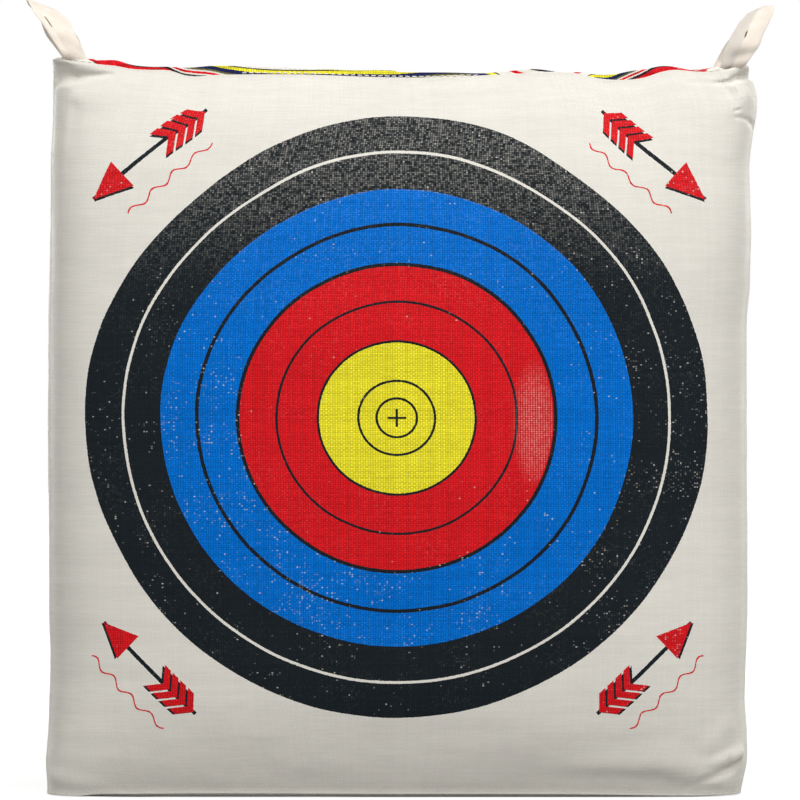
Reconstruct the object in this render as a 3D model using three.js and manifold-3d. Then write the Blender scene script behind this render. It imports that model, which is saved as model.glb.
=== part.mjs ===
// A stuffed bag target for archery, standing on its bottom panel, printed face towards -Y.
// Millimetres, +Z up, origin at the middle of the footprint on the ground.
// The cover is sewn from six cloth panels. Inside it are a liner sack, a pad behind each face
// and rammed charges of fibre. A cloth carrying loop swings at each side of the top.
import * as THREE from "three";
import { mergeVertices } from "three/addons/utils/BufferGeometryUtils.js";
import Module from "manifold-3d";

// Body of the bag
const bagWidth = 737; // widest, at the middle of the side faces
const bagDepth = 356; // deepest, between the two faces
const topSeamHeight = 742;
const topCrown = 20; // rise of the stuffed top over its seam
const topDrawnWidth = 7; // how much narrower the bag is at its top seam
const topDrawnDepth = 52;
const bottomDrawnWidth = 13; // and at its bottom seam
const bottomDrawnDepth = 56;
const bottomSeamHeight = 8;
const lowerSwell = 140; // height over which the faces swell out from the bottom seam
const upperSwell = 330; // and from the top seam
const seamSquareness = 9; // exponent of the plan section at the seams
const bodySquareness = 5.5; // and where the bag is fullest

// Cover
const coverThickness = 1.2;
const seamGap = 0.4; // between two panels that meet edge to edge
const layerGap = 0.4; // between cloth and what lies behind it
const hemRise = 2.5; // how far the wall panels stand past the top and bottom panels
const sideSeamSetback = 78; // from each face back to the upright seams on the sides

// Stitch rows
const rowWidth = 3;
const rowThickness = 1;
const rowGap = 0.3;
const rowInset = 5.5; // of a top row, in from the hem
const rowHeight = 6; // of a bottom row, over the bottom seam

// Carrying straps
const strapInset = 27; // from the side of the top seam to the line that the loop swings about
const strapPivotRise = 20; // of that line over the top seam
const strapRise = 70; // of the loop over that line
const strapLean = 32.5; // degrees outward at rest
const strapWidth = 38;
const strapRootWidth = 27.5; // gathered where it is sewn in
const strapThickness = 2.4;
const strapBend = 45; // radius of the loop's two bends
const strapTip = 23; // degrees that the top of the loop rolls inward and down
const tailLength = 25; // sewn in, under the seam
const tackWidth = 20;
const tackHeight = 4;
const tackThickness = 1;
const tackDrop = 12; // under the seam
const tackGap = 0.7; // behind the curved tail

// Liner and filling
const linerThickness = 0.8;
const linerDrawIn = 6; // the sack narrows at its mouth, behind the strap tails
const linerDrawStart = 75; // under the top seam, where that begins
const linerDrawEnd = 32;
const linerMouthDrop = 1; // of the sack's rim under the top seam
const padDepth = 68; // from the outside of a face to the flat inner side of its pad
const padEdge = 8; // least thickness of a pad
const fillGap = 1.2; // round the filling
const chargeGap = 0.3; // between charges
const chargeCount = 8;

// Plan section: rays from the middle, chosen on the outline of the top seam. Three more go
// through each strap tail.
const frontShares = [0, 0.22, 0.44, 0.64, 0.8];
const tailRayCount = 3;
const topHalfWidth = (bagWidth - topDrawnWidth) / 2;
const topHalfDepth = (bagDepth - topDrawnDepth) / 2;
const sideSeamDepth = bagDepth / 2 - sideSeamSetback;
const sideShares = [0.78, sideSeamDepth / topHalfDepth, 0.33, 0];
const strapX = topHalfWidth - strapInset;
// Heights of the rows of every wall, as shares of the height between the seams.
const rowShares = [0, 0.03, 0.08, 0.18, 0.38, 0.58, 0.76, 0.88, 1];
// Rings of the top and bottom panels, as shares of the distance from middle to rim.
const topRingShares = [0.35, 0.6, 0.8, 0.92, 1];
const bottomRingShares = [0.94, 0.96, 0.98, 1];
const crownPower = 2.2;
const swellPower = 2.4;

const wallHeight = topSeamHeight - bottomSeamHeight;
const clamp = (value, low, high) => Math.min(high, Math.max(low, value));
const blend = (from, to, share) => from + (to - from) * share;
const smooth = (share) => share * share * (3 - 2 * share);

// 0 at both seams and 1 where the bag is fullest
function fullness(z) {
  const below = clamp((z - bottomSeamHeight) / lowerSwell, 0, 1);
  const above = clamp((topSeamHeight - z) / upperSwell, 0, 1);
  return (1 - (1 - below) ** swellPower) * (1 - (1 - above) ** swellPower);
}

// Half width, half depth and squareness of the plan section at a height
function section(z) {
  const share = clamp((z - bottomSeamHeight) / wallHeight, 0, 1);
  const full = fullness(z);
  const drawnWidth = blend(bottomDrawnWidth, topDrawnWidth, share) * (1 - full);
  const drawnDepth = blend(bottomDrawnDepth, topDrawnDepth, share) * (1 - full);
  return {
    a: (bagWidth - drawnWidth) / 2,
    b: (bagDepth - drawnDepth) / 2,
    n: blend(seamSquareness, bodySquareness, full),
  };
}

// Where a ray in plan meets the section that lies inset inside the outside of the bag
function onRay([dx, dy], z, inset) {
  const { a, b, n } = section(z);
  const reach = (Math.abs(dx) / (a - inset)) ** n + (Math.abs(dy) / (b - inset)) ** n;
  const scale = reach ** (-1 / n);
  return [dx * scale, dy * scale];
}

// Depth of the outline at a given x
function depthAt(x, z, inset) {
  const { a, b, n } = section(z);
  return (b - inset) * (1 - (Math.abs(x) / (a - inset)) ** n) ** (1 / n);
}

// The rays of a quarter, from the middle of the front to the middle of the right side
function quarterRays() {
  const { a, b, n } = section(topSeamHeight);
  const half = strapRootWidth / 2;
  const strapShares = [strapX - half, strapX, strapX + half].map((x) => x / a);
  const along = [...frontShares, ...strapShares].map((s) => [s * a, -b * (1 - s ** n) ** (1 / n)]);
  const across = sideShares.map((s) => [a * (1 - s ** n) ** (1 / n), -s * b]);
  return [...along, ...across];
}
const frontCount = frontShares.length + tailRayCount;
const seamRay = frontCount + 1;
const quarter = quarterRays();

// The whole loop of rays, turning from the middle of the front through +X, +Y and -X
function loopRays() {
  const last = quarter.length - 1;
  const back = quarter.slice(0, last).reverse().map(([x, y]) => [x, -y]);
  const right = [...quarter, ...back];
  const left = right.slice(1, -1).reverse().map(([x, y]) => [-x, y]);
  return [...right, ...left];
}
const loop = loopRays();
const sideMiddle = quarter.length - 1;
const backMiddle = 2 * sideMiddle;
const rayAt = (index) => loop[(index + loop.length) % loop.length];
const range = (from, to) => Array.from({ length: to - from + 1 }, (_, i) => from + i);
// One more row, level with the lower ends of the strap tails
const tailFoot = topSeamHeight - tailLength;
const wallHeights = [...rowShares.map((share) => bottomSeamHeight + share * wallHeight), tailFoot]
  .sort((p, q) => p - q);

// A closed solid from a list of points and triangles
function solid(points, faces) {
  const geometry = new THREE.BufferGeometry();
  geometry.setAttribute("position", new THREE.Float32BufferAttribute(points.flat(), 3));
  geometry.setIndex(faces.flat());
  const shape = geometry.toNonIndexed();
  shape.computeVertexNormals();
  return shape;
}

// Turns the faces of a solid over if they point inward
function facingOut(points, faces) {
  let volume = 0;
  for (const [i, j, k] of faces) {
    const [p, q, r] = [points[i], points[j], points[k]];
    volume += p[0] * (q[1] * r[2] - q[2] * r[1]);
    volume += p[1] * (q[2] * r[0] - q[0] * r[2]);
    volume += p[2] * (q[0] * r[1] - q[1] * r[0]);
  }
  return solid(points, volume < 0 ? faces.map(([i, j, k]) => [i, k, j]) : faces);
}

// A sheet of cloth or a pad: the space between an outer and an inner grid of points
function sheet(outer, inner) {
  const [rows, columns] = [outer.length, outer[0].length];
  const points = [...outer.flat(), ...inner.flat()];
  const at = (side, row, column) => side * rows * columns + row * columns + column;
  const faces = [];
  const quad = (i, j, k, l) => faces.push([i, j, k], [i, k, l]);
  for (let row = 0; row < rows - 1; row++) {
    for (let column = 0; column < columns - 1; column++) {
      const [p, q, r, s] = [[row, column], [row, column + 1], [row + 1, column + 1], [row + 1, column]];
      quad(...[p, q, r, s].map(([i, j]) => at(0, i, j)));
      quad(...[p, s, r, q].map(([i, j]) => at(1, i, j)));
    }
    quad(at(0, row, 0), at(0, row + 1, 0), at(1, row + 1, 0), at(1, row, 0));
    const end = columns - 1;
    quad(at(0, row + 1, end), at(0, row, end), at(1, row, end), at(1, row + 1, end));
  }
  const top = rows - 1;
  for (let column = 0; column < columns - 1; column++) {
    quad(at(0, 0, column + 1), at(0, 0, column), at(1, 0, column), at(1, 0, column + 1));
    quad(at(0, top, column), at(0, top, column + 1), at(1, top, column + 1), at(1, top, column));
  }
  return facingOut(points, faces);
}

// A closed skin over rings of equal length, from one middle point to another. Layers that lie
// on one another are split along the same diagonals: inside faces start at the turned ring.
function ringed(first, rings, last, turned = rings.length) {
  const count = rings[0].length;
  const points = [first, ...rings.flat(), last];
  const faces = [];
  const at = (ring, index) => 1 + ring * count + (index % count);
  for (let index = 0; index < count; index++) {
    faces.push([0, at(0, index + 1), at(0, index)]);
    for (let ring = 0; ring < rings.length - 1; ring++) {
      const [p, q] = [at(ring, index), at(ring, index + 1)];
      const [r, s] = [at(ring + 1, index + 1), at(ring + 1, index)];
      if (ring < turned) faces.push([p, q, r], [p, r, s]);
      else faces.push([p, q, s], [q, r, s]);
    }
    faces.push([points.length - 1, at(rings.length - 1, index), at(rings.length - 1, index + 1)]);
  }
  return facingOut(points, faces);
}

// A thread or strap with a four-sided section along a path: each station has its middle,
// the half vector of its width and the half vector of its thickness
function ribbon(stations) {
  const points = [];
  const faces = [];
  for (const { middle, wide, thick } of stations) {
    for (const [w, t] of [[-1, -1], [1, -1], [1, 1], [-1, 1]]) {
      points.push([0, 1, 2].map((k) => middle[k] + w * wide[k] + t * thick[k]));
    }
  }
  for (let i = 0; i < stations.length - 1; i++) {
    for (let side = 0; side < 4; side++) {
      const next = (side + 1) % 4;
      const [p, q, r, s] = [i * 4 + side, i * 4 + next, i * 4 + 4 + next, i * 4 + 4 + side];
      faces.push([p, q, r], [p, r, s]);
    }
  }
  const end = (stations.length - 1) * 4;
  faces.push([0, 2, 1], [0, 3, 2], [end, end + 1, end + 2], [end, end + 2, end + 3]);
  return facingOut(points, faces);
}

// Cover cloth of a wall, between two rays; its upright edges stop half a seam gap short
function wallPanel(from, to) {
  const heights = [bottomSeamHeight - hemRise, ...wallHeights, topSeamHeight + hemRise];
  const grid = (inset) => heights.map((z) => range(from, to).map((index) => {
    const [x, y] = onRay(rayAt(index), z, inset);
    const towards = index === from ? 1 : -1;
    const turn = index === from || index === to ? towards * Math.sign(x) * seamGap / 2 : 0;
    return [x, y + turn, z];
  }));
  return sheet(grid(0), grid(coverThickness));
}

// Heights of the outside of the top and bottom panels over a ring at a share of the rim
const crownHeight = (share) => topSeamHeight + topCrown * (1 - share ** crownPower);
function soleHeight(share) {
  const flat = bottomRingShares[0];
  return bottomSeamHeight * (clamp((share - flat) / (1 - flat), 0, 1)) ** 2;
}

// One ring of points at a share of the rim's outline
function ring(share, z, rimHeight, inset) {
  return loop.map((ray) => {
    const [x, y] = onRay(ray, rimHeight, inset);
    return [x * share, y * share, z];
  });
}

// A closed lid of even thickness over rings, crowned for the top or flat for the bottom
function lid(shares, heightOf, rimHeight, inset, drop, thickness) {
  const outer = shares.map((share) => ring(share, heightOf(share) - drop, rimHeight, inset));
  const inner = shares.map((share) => ring(share, heightOf(share) - drop - thickness, rimHeight, inset));
  const middle = heightOf(0) - drop;
  const rings = [...outer, ...inner.reverse()];
  return ringed([0, 0, middle], rings, [0, 0, middle - thickness], outer.length);
}

// Cuts a box out of a solid
const wasm = await Module();
wasm.setup();
function asManifold(geometry) {
  const plain = geometry.clone();
  plain.deleteAttribute("normal");
  plain.deleteAttribute("uv");
  const merged = mergeVertices(plain);
  return new wasm.Manifold(new wasm.Mesh({
    numProp: 3,
    vertProperties: new Float32Array(merged.attributes.position.array),
    triVerts: new Uint32Array(merged.index.array),
  }));
}
function cut(geometry, tools) {
  let body = asManifold(geometry);
  for (const tool of tools) body = body.subtract(asManifold(tool));
  const mesh = body.getMesh();
  const result = new THREE.BufferGeometry();
  result.setAttribute("position", new THREE.BufferAttribute(mesh.vertProperties, 3));
  result.setIndex(new THREE.BufferAttribute(mesh.triVerts, 1));
  const shape = result.toNonIndexed();
  shape.computeVertexNormals();
  return shape;
}

// The sewn-in tails lie just behind the wall panels, over three rays at each corner
const tailInset = coverThickness + layerGap;
const tailBack = tailInset + strapThickness;
const seamInset = coverThickness + seamGap;
const onward = range(frontShares.length, frontCount - 1);
const mirrored = onward.map((index) => -index).reverse();
const tailIndices = {
  right_front: onward,
  right_rear: mirrored.map((index) => backMiddle + index),
  left_rear: onward.map((index) => backMiddle + index),
  left_front: mirrored,
};
const tailRays = (corner) => tailIndices[corner].map(rayAt);

// The top panel, notched at its rim where the four strap tails come up through the seam
function topPanel() {
  const panel = lid(topRingShares, crownHeight, topSeamHeight, seamInset, 0, coverThickness);
  const notches = Object.keys(tailIndices).map((corner) => {
    const points = tailRays(corner).flatMap((ray) => [
      onRay(ray, topSeamHeight, 0),
      onRay(ray, topSeamHeight, tailBack),
    ]);
    const [low, high] = [Math.min, Math.max].map((pick) =>
      [0, 1].map((k) => pick(...points.map((point) => point[k]))));
    const size = [0, 1].map((k) => high[k] - low[k] + 2 * layerGap);
    const notch = new THREE.BoxGeometry(...size, 2 * topCrown);
    notch.translate((low[0] + high[0]) / 2, (low[1] + high[1]) / 2, topSeamHeight);
    return notch;
  });
  return cut(panel, notches);
}

function bottomPanel() {
  return lid(bottomRingShares, soleHeight, bottomSeamHeight, seamInset, -coverThickness, coverThickness);
}

// Stitch rows: one thread each
const rowStand = rowGap + rowThickness / 2;
function uprightRow(index) {
  const ray = rayAt(index);
  const start = bottomSeamHeight + rowHeight + rowWidth;
  return ribbon([start, ...wallHeights.slice(1)].map((z) => {
    const [x, y] = onRay(ray, z, -rowStand);
    return { middle: [x, y, z], wide: [0, rowWidth / 2, 0], thick: [rowThickness / 2, 0, 0] };
  }));
}

// Outward direction at a point where a quantity grows outward
function outward(measure, point) {
  const slope = [0, 1, 2].map((k) => {
    const ahead = point.map((value, i) => value + (i === k ? rowGap : 0));
    const behind = point.map((value, i) => value - (i === k ? rowGap : 0));
    return measure(ahead) - measure(behind);
  });
  return new THREE.Vector3(...slope).normalize();
}
function wallShare([x, y, z], inset = 0) {
  const { a, b, n } = section(z);
  return ((Math.abs(x) / (a - inset)) ** n + (Math.abs(y) / (b - inset)) ** n) ** (1 / n);
}

// A row along part of the loop, on a surface whose outside is where the measure grows
function rowAlong(indices, place, measure) {
  const stand = (point) => new THREE.Vector3(...point).addScaledVector(outward(measure, point), rowStand);
  const points = indices.map((index) => place(rayAt(index)));
  const path = points.map(stand);
  return ribbon(path.map((middle, i) => {
    const along = path[Math.min(path.length - 1, i + 1)].clone().sub(path[Math.max(0, i - 1)]).normalize();
    const across = new THREE.Vector3().crossVectors(outward(measure, points[i]), along).normalize();
    const thick = new THREE.Vector3().crossVectors(along, across).normalize();
    return {
      middle: middle.toArray(),
      wide: across.multiplyScalar(rowWidth / 2).toArray(),
      thick: thick.multiplyScalar(rowThickness / 2).toArray(),
    };
  }));
}
const tailRoom = tailBack + layerGap;
const crownShare = (x, y, inset) => wallShare([x, y, topSeamHeight], inset);
function topRow(indices) {
  const heightAt = (x, y) => crownHeight(crownShare(x, y, seamInset));
  return rowAlong(indices, (ray) => {
    const [x, y] = onRay(ray, topSeamHeight, tailRoom + rowInset);
    return [x, y, heightAt(x, y)];
  }, ([x, y, z]) => z - heightAt(x, y));
}
function bottomRow(indices) {
  const z = bottomSeamHeight + rowHeight;
  return rowAlong(indices, (ray) => [...onRay(ray, z, 0), z], wallShare);
}

// Liner and filling: the sack follows the cover and draws in towards its mouth
function linerInset(z) {
  const start = topSeamHeight - linerDrawStart;
  const share = clamp((z - start) / (linerDrawStart - linerDrawEnd), 0, 1);
  return coverThickness + layerGap + linerDrawIn * smooth(share);
}
const linerLift = coverThickness + layerGap; // of the sack's bottom over the outside of the sole
const planHeight = (z) => (z < wallHeights[1] ? bottomSeamHeight : z); // under the first row
const mouthHeight = topSeamHeight - linerMouthDrop - coverThickness;
function linerHeights() {
  const inner = wallHeights.slice(1, -1);
  const drawn = [topSeamHeight - linerDrawEnd];
  return [...inner, ...drawn, mouthHeight].sort((p, q) => p - q);
}
function linerSack() {
  const level = (z, inset) => loop.map((ray) => [...onRay(ray, z, inset), z]);
  const shell = (extra) => {
    const rim = linerInset(bottomSeamHeight) + extra;
    const sole = bottomRingShares.map((share) =>
      ring(share, soleHeight(share) + linerLift + extra, bottomSeamHeight, rim));
    const walls = linerHeights().map((z) => level(z, linerInset(z) + extra));
    return [...sole, ...walls];
  };
  const [outside, inside] = [shell(0), shell(linerThickness).reverse()];
  const floor = linerLift + linerThickness;
  return ringed([0, 0, linerLift], [...outside, ...inside], [0, 0, floor], outside.length);
}
const linerLidInset = linerInset(mouthHeight) + linerThickness + layerGap;
function linerLid() {
  const drop = coverThickness + layerGap;
  return lid(topRingShares, crownHeight, topSeamHeight, linerLidInset, drop, linerThickness);
}
function closingThread() {
  const under = coverThickness + layerGap + linerThickness;
  const heightAt = (x, y) => crownHeight(crownShare(x, y, linerLidInset)) - under;
  return rowAlong(range(1, loop.length - 1), (ray) => {
    const [x, y] = onRay(ray, topSeamHeight, linerLidInset + rowInset);
    return [x, y, heightAt(x, y)];
  }, ([x, y, z]) => heightAt(x, y) - z);
}

const padPlane = bagDepth / 2 - padDepth;
const fillFloor = linerLift + linerThickness + layerGap;
const fillInset = (z) => linerInset(z) + linerThickness + layerGap;
const fillTop = mouthHeight - rowThickness - 2 * rowStand;

// A point on a ray, no further from the middle than a plane across the depth
function short(ray, z, inset, plane) {
  const [x, y] = onRay(ray, planHeight(z), inset);
  const scale = Math.min(1, plane / Math.abs(y));
  return [x * scale, y * scale, z];
}
function facePad(middle, flip) {
  const heights = linerHeights().filter((z) => z < fillTop - tailLength);
  heights.unshift(bottomSeamHeight + fillFloor);
  const deep = (index) => heights.every((z) => {
    return Math.abs(onRay(rayAt(index), planHeight(z), fillInset(z))[1]) > padPlane + padEdge;
  });
  const indices = range(middle - frontCount, middle + frontCount).filter(deep);
  const outer = heights.map((z) => indices.map((i) => short(rayAt(i), z, fillInset(z), bagDepth)));
  const inner = heights.map((z) => indices.map((i) => short(rayAt(i), z, fillInset(z), padPlane)));
  return flip ? sheet(inner, outer) : sheet(outer, inner);
}

// One charge of fibre, as wide as the liner and as deep as the pads leave
function charge(index) {
  const height = (fillTop - fillFloor) / chargeCount;
  const low = fillFloor + index * height;
  const high = low + height - chargeGap;
  const rays = loop.filter((_, i) => i % 2 === 0);
  const level = (z, share = 1) => rays.map((ray) => {
    const [x, y] = short(ray, z, fillInset(z) + fillGap, (padPlane - layerGap) / share);
    return [x * share, y * share, z];
  });
  const turn = bottomSeamHeight + fillFloor;
  const between = linerHeights().filter((z) => z > low && z < high);
  const rings = index === 0
    ? [level(low, bottomRingShares[0]), level(turn), ...between.map((z) => level(z))]
    : [level(low), ...between.map((z) => level(z))];
  return ringed([0, 0, low], [...rings, level(high)], [0, 0, high]);
}

// Sewn-in tail of a strap: it follows the curve of the seam, just behind the wall panel
const rootRadius = strapRootWidth / 2;
const tailTop = topSeamHeight + strapPivotRise - rootRadius - chargeGap;
function strapTail(corner) {
  const heights = [tailFoot, topSeamHeight, tailTop];
  const grid = (inset) => heights.map((z) => tailRays(corner).map((ray) => [...onRay(ray, z, inset), z]));
  return sheet(grid(tailInset), grid(tailBack));
}

// The reinforcing tack behind a tail, parallel to its flat facets
function tailTack(corner) {
  const share = tackWidth / strapRootWidth;
  const point = (ray, z, inset) => {
    const [foot, seam] = [tailFoot, topSeamHeight].map((height) => onRay(ray, height, inset));
    return [0, 1].map((k) => blend(foot[k], seam[k], (z - tailFoot) / tailLength));
  };
  const row = (z, inset) => {
    const [first, middle, last] = tailRays(corner).map((ray) => point(ray, z, inset));
    const towards = (end) => [0, 1].map((k) => blend(middle[k], end[k], share));
    return [towards(first), middle, towards(last)].map((place) => [...place, z]);
  };
  const grid = (inset) => [-1, 1].map((step) =>
    row(topSeamHeight - tackDrop + step * tackHeight / 2, inset));
  return sheet(grid(tailBack + tackGap), grid(tailBack + tackGap + tackThickness));
}

// The free loop of a strap: up from the front pivot, round two bends and down to the rear one.
// It is laid out in its own leaning plane, with h along the lean and y along the depth. Its
// two roots are round about the pivot line.
const rootShares = [1, 0.9, 0.6, 0.3];
const legShares = [0, 0.5];
const bendSteps = 6;
const strapY = depthAt(strapX, topSeamHeight, tailInset + strapThickness / 2);
function loopPath() {
  const path = [];
  for (const share of rootShares) path.push({ h: -rootRadius * share, y: -strapY, root: true });
  const legTop = strapRise - strapBend;
  for (const share of legShares) path.push({ h: legTop * share, y: -strapY });
  for (let i = 0; i <= bendSteps; i++) {
    const turn = (i / bendSteps) * Math.PI / 2;
    path.push({
      h: legTop + strapBend * Math.sin(turn),
      y: -strapY + strapBend * (1 - Math.cos(turn)),
    });
  }
  const rest = path.slice().reverse().map((point) => ({ ...point, y: -point.y }));
  return [...path, ...rest];
}
function strapLoop(side) {
  const lean = THREE.MathUtils.degToRad(strapLean);
  const up = new THREE.Vector3(side * Math.sin(lean), 0, Math.cos(lean));
  const tip = THREE.MathUtils.degToRad(strapTip);
  const rootAcross = new THREE.Vector3(side, 0, 0);
  const topAcross = new THREE.Vector3(side * Math.cos(tip), 0, Math.sin(tip));
  const path = loopPath();
  const spot = ({ h, y }) => new THREE.Vector3(side * strapX, y, topSeamHeight + strapPivotRise)
    .addScaledVector(up, h);
  const straightUp = new THREE.Vector3(0, 0, 1);
  return ribbon(path.map((point, i) => {
    const share = smooth(clamp(point.h / strapRise, 0, 1));
    const place = point.root
      ? new THREE.Vector3(side * strapX, point.y, topSeamHeight + strapPivotRise + point.h)
      : spot(point);
    const before = path[Math.max(0, i - 1)];
    const after = path[Math.min(path.length - 1, i + 1)];
    const direction = point.root ? straightUp.clone() : spot(after).sub(spot(before)).normalize();
    const across = rootAcross.clone().lerp(topAcross, share).normalize();
    const round = point.root ? Math.sqrt(Math.max(0, rootRadius ** 2 - point.h ** 2)) : rootRadius;
    const half = point.root ? Math.max(round, strapThickness / 2) : blend(rootRadius, strapWidth / 2, share);
    const thick = new THREE.Vector3().crossVectors(across, direction).normalize();
    return {
      middle: place.toArray(),
      wide: across.multiplyScalar(half).toArray(),
      thick: (thick.y * point.y > 0 ? thick : thick.negate()).multiplyScalar(strapThickness / 2).toArray(),
    };
  }));
}

// Materials
const cloth = { roughness: 0.62, metalness: 0 };
const materials = {
  cover: { color: 0xe4e1d6, ...cloth },
  side: { color: 0xd9d6cb, ...cloth },
  strap: { color: 0xf3e8d8, roughness: 0.85, metalness: 0 },
  thread: { color: 0xf5f3ea, roughness: 0.7, metalness: 0 },
  liner: { color: 0xb59a6c, roughness: 0.9, metalness: 0 },
  pad: { color: 0x8f9398, roughness: 0.95, metalness: 0 },
  filling: { color: 0xa9a08f, roughness: 1, metalness: 0 },
};
const part = new THREE.Group();
function add(name, geometry, look) {
  const mesh = new THREE.Mesh(geometry, new THREE.MeshStandardMaterial(materials[look]));
  mesh.name = name;
  part.add(mesh);
}

// Cover
const seams = [-seamRay, seamRay, backMiddle - seamRay, backMiddle + seamRay];
add("front_panel", wallPanel(seams[0], seams[1]), "cover");
add("back_panel", wallPanel(seams[2], seams[3]), "cover");
add("right_side_panel", wallPanel(seams[1], seams[2]), "side");
add("left_side_panel", wallPanel(seams[3], loop.length - seamRay), "side");
add("top_panel", topPanel(), "cover");
add("bottom_panel", bottomPanel(), "side");

// Stitch rows
const cornerFront = frontCount;
const runs = {
  front: range(-cornerFront + 1, cornerFront - 1),
  right: range(cornerFront, backMiddle - cornerFront),
  back: range(backMiddle - cornerFront + 1, backMiddle + cornerFront - 1),
  left: range(backMiddle + cornerFront, loop.length - cornerFront),
};
for (const [name, run] of Object.entries(runs)) {
  add(`top_${name}_stitching`, topRow(run), "thread");
  add(`bottom_${name}_stitching`, bottomRow(run), "thread");
}
add("front_right_upright_stitching", uprightRow(seams[1]), "thread");
add("rear_right_upright_stitching", uprightRow(seams[2]), "thread");
add("rear_left_upright_stitching", uprightRow(seams[3]), "thread");
add("front_left_upright_stitching", uprightRow(seams[0]), "thread");

// Straps
for (const [name, side] of [["left", -1], ["right", 1]]) {
  add(`${name}_handle_strap`, strapLoop(side), "strap");
}
for (const corner of Object.keys(tailIndices)) {
  add(`${corner}_strap_tail`, strapTail(corner), "strap");
  add(`${corner}_tail_tack`, tailTack(corner), "thread");
}

// Inside
add("liner_sack", linerSack(), "liner");
add("liner_lid", linerLid(), "liner");
add("liner_closing_thread", closingThread(), "thread");
add("front_face_pad", facePad(0, false), "pad");
add("rear_face_pad", facePad(backMiddle, true), "pad");
for (const index of range(0, chargeCount - 1)) add(`fill_charge_${index + 1}`, charge(index), "filling");

export default part;
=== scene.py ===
# The looks of a stuffed bag target for archery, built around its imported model.
# Metres, +Z up, printed face towards -Y. Every piece of the bag is shaped by the same settled
# form: settle() moves a point of the sewn pattern to where the stuffed, sagging bag has it, so
# the layers of cloth, the stitches and the filling stay clear of one another.
import math

import bmesh
import bpy
import numpy as np
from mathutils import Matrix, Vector


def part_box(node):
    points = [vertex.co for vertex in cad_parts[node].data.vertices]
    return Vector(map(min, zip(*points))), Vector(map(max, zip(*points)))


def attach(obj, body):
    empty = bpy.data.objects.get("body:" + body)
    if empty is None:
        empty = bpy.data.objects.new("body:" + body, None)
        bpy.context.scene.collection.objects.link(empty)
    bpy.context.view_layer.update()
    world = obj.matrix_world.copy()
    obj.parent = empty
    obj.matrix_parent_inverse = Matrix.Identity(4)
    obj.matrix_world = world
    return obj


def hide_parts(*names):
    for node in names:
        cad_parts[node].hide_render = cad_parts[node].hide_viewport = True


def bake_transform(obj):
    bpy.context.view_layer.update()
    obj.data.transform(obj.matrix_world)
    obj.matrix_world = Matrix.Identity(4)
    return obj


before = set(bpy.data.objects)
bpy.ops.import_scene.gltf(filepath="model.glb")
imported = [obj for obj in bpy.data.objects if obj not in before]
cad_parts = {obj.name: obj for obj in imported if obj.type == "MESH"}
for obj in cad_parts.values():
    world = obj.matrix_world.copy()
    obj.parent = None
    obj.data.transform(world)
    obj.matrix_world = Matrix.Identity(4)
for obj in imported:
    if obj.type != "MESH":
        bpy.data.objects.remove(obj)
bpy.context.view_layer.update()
MM = 0.001

# Form of the bag, as in the model
front_low, front_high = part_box("front_panel")
HEM_RISE = 2.5 * MM
HALF_WIDTH, HALF_DEPTH = front_high.x, -front_low.y
TOP_SEAM, SOLE_SEAM = front_high.z - HEM_RISE, front_low.z + HEM_RISE
TOP_CROWN, CROWN_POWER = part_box("top_panel")[1].z - TOP_SEAM, 2.2
TOP_DRAWN, SOLE_DRAWN = (7 * MM, 52 * MM), (13 * MM, 56 * MM)
LOWER_SWELL, UPPER_SWELL, SWELL_POWER = 140 * MM, 330 * MM, 2.4
SEAM_SQUARENESS, BODY_SQUARENESS = 9, 5.5
CLOTH = 1.2 * MM
STRAP_X, STRAP_ROOT = HALF_WIDTH - TOP_DRAWN[0] / 2 - 27 * MM, 27.5 * MM
OUTLINE_STEPS, LATTICE_CELLS, TINY = 24000, 997, 1e-12


def smooth(share):
    share = np.clip(share, 0, 1)
    return share * share * (3 - 2 * share)


def ease(value, start, end):
    """0 up to the start, 1 from the end on, and a smooth step between."""
    return smooth((value - start) / (end - start))


def between(ends, share):
    return ends[0] + (ends[1] - ends[0]) * share


def unit(vectors):
    return vectors / np.maximum(np.linalg.norm(vectors, axis=-1, keepdims=True), TINY)


def run_length(path):
    """Length run at each point of a path."""
    return np.concatenate([[0], np.cumsum(np.linalg.norm(np.diff(path, axis=0), axis=1))])


def section(z):
    """Half width, half depth and squareness of the plan section at a height."""
    below = np.clip((z - SOLE_SEAM) / LOWER_SWELL, 0, 1)
    above = np.clip((TOP_SEAM - z) / UPPER_SWELL, 0, 1)
    empty = 1 - (1 - (1 - below) ** SWELL_POWER) * (1 - (1 - above) ** SWELL_POWER)
    share = np.clip((z - SOLE_SEAM) / (TOP_SEAM - SOLE_SEAM), 0, 1)
    half_width, half_depth = (half - between(drawn, share) * empty / 2 for half, drawn in
                              zip((HALF_WIDTH, HALF_DEPTH), zip(SOLE_DRAWN, TOP_DRAWN)))
    return half_width, half_depth, between((BODY_SQUARENESS, SEAM_SQUARENESS), empty)


def rounded_reach(x, y, a, b, n):
    return ((np.abs(x) / a) ** n + (np.abs(y) / b) ** n) ** (1 / n)


def wall_share(x, y, z, inset=0.0):
    """0 at the middle of the section and 1 on its outline."""
    a, b, n = section(z)
    return rounded_reach(x, y, a - inset, b - inset, n)


def wall_depth(x, z):
    """How far back from the middle the wall stands at x."""
    a, b, n = section(z)
    return b * (1 - np.minimum(np.abs(x) / a, 1) ** n) ** (1 / n)


def outline():
    """Points of the fullest section and the arc length to each, from the middle of the front."""
    turn = np.linspace(-np.pi, np.pi, OUTLINE_STEPS + 1)
    x, y = (half * np.sign(part) * np.abs(part) ** (2 / BODY_SQUARENESS)
            for half, part in ((HALF_WIDTH, np.sin(turn)), (HALF_DEPTH, -np.cos(turn))))
    arc = run_length(np.stack([x, y], axis=-1))
    return x, y, arc - arc[-1] / 2


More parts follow.
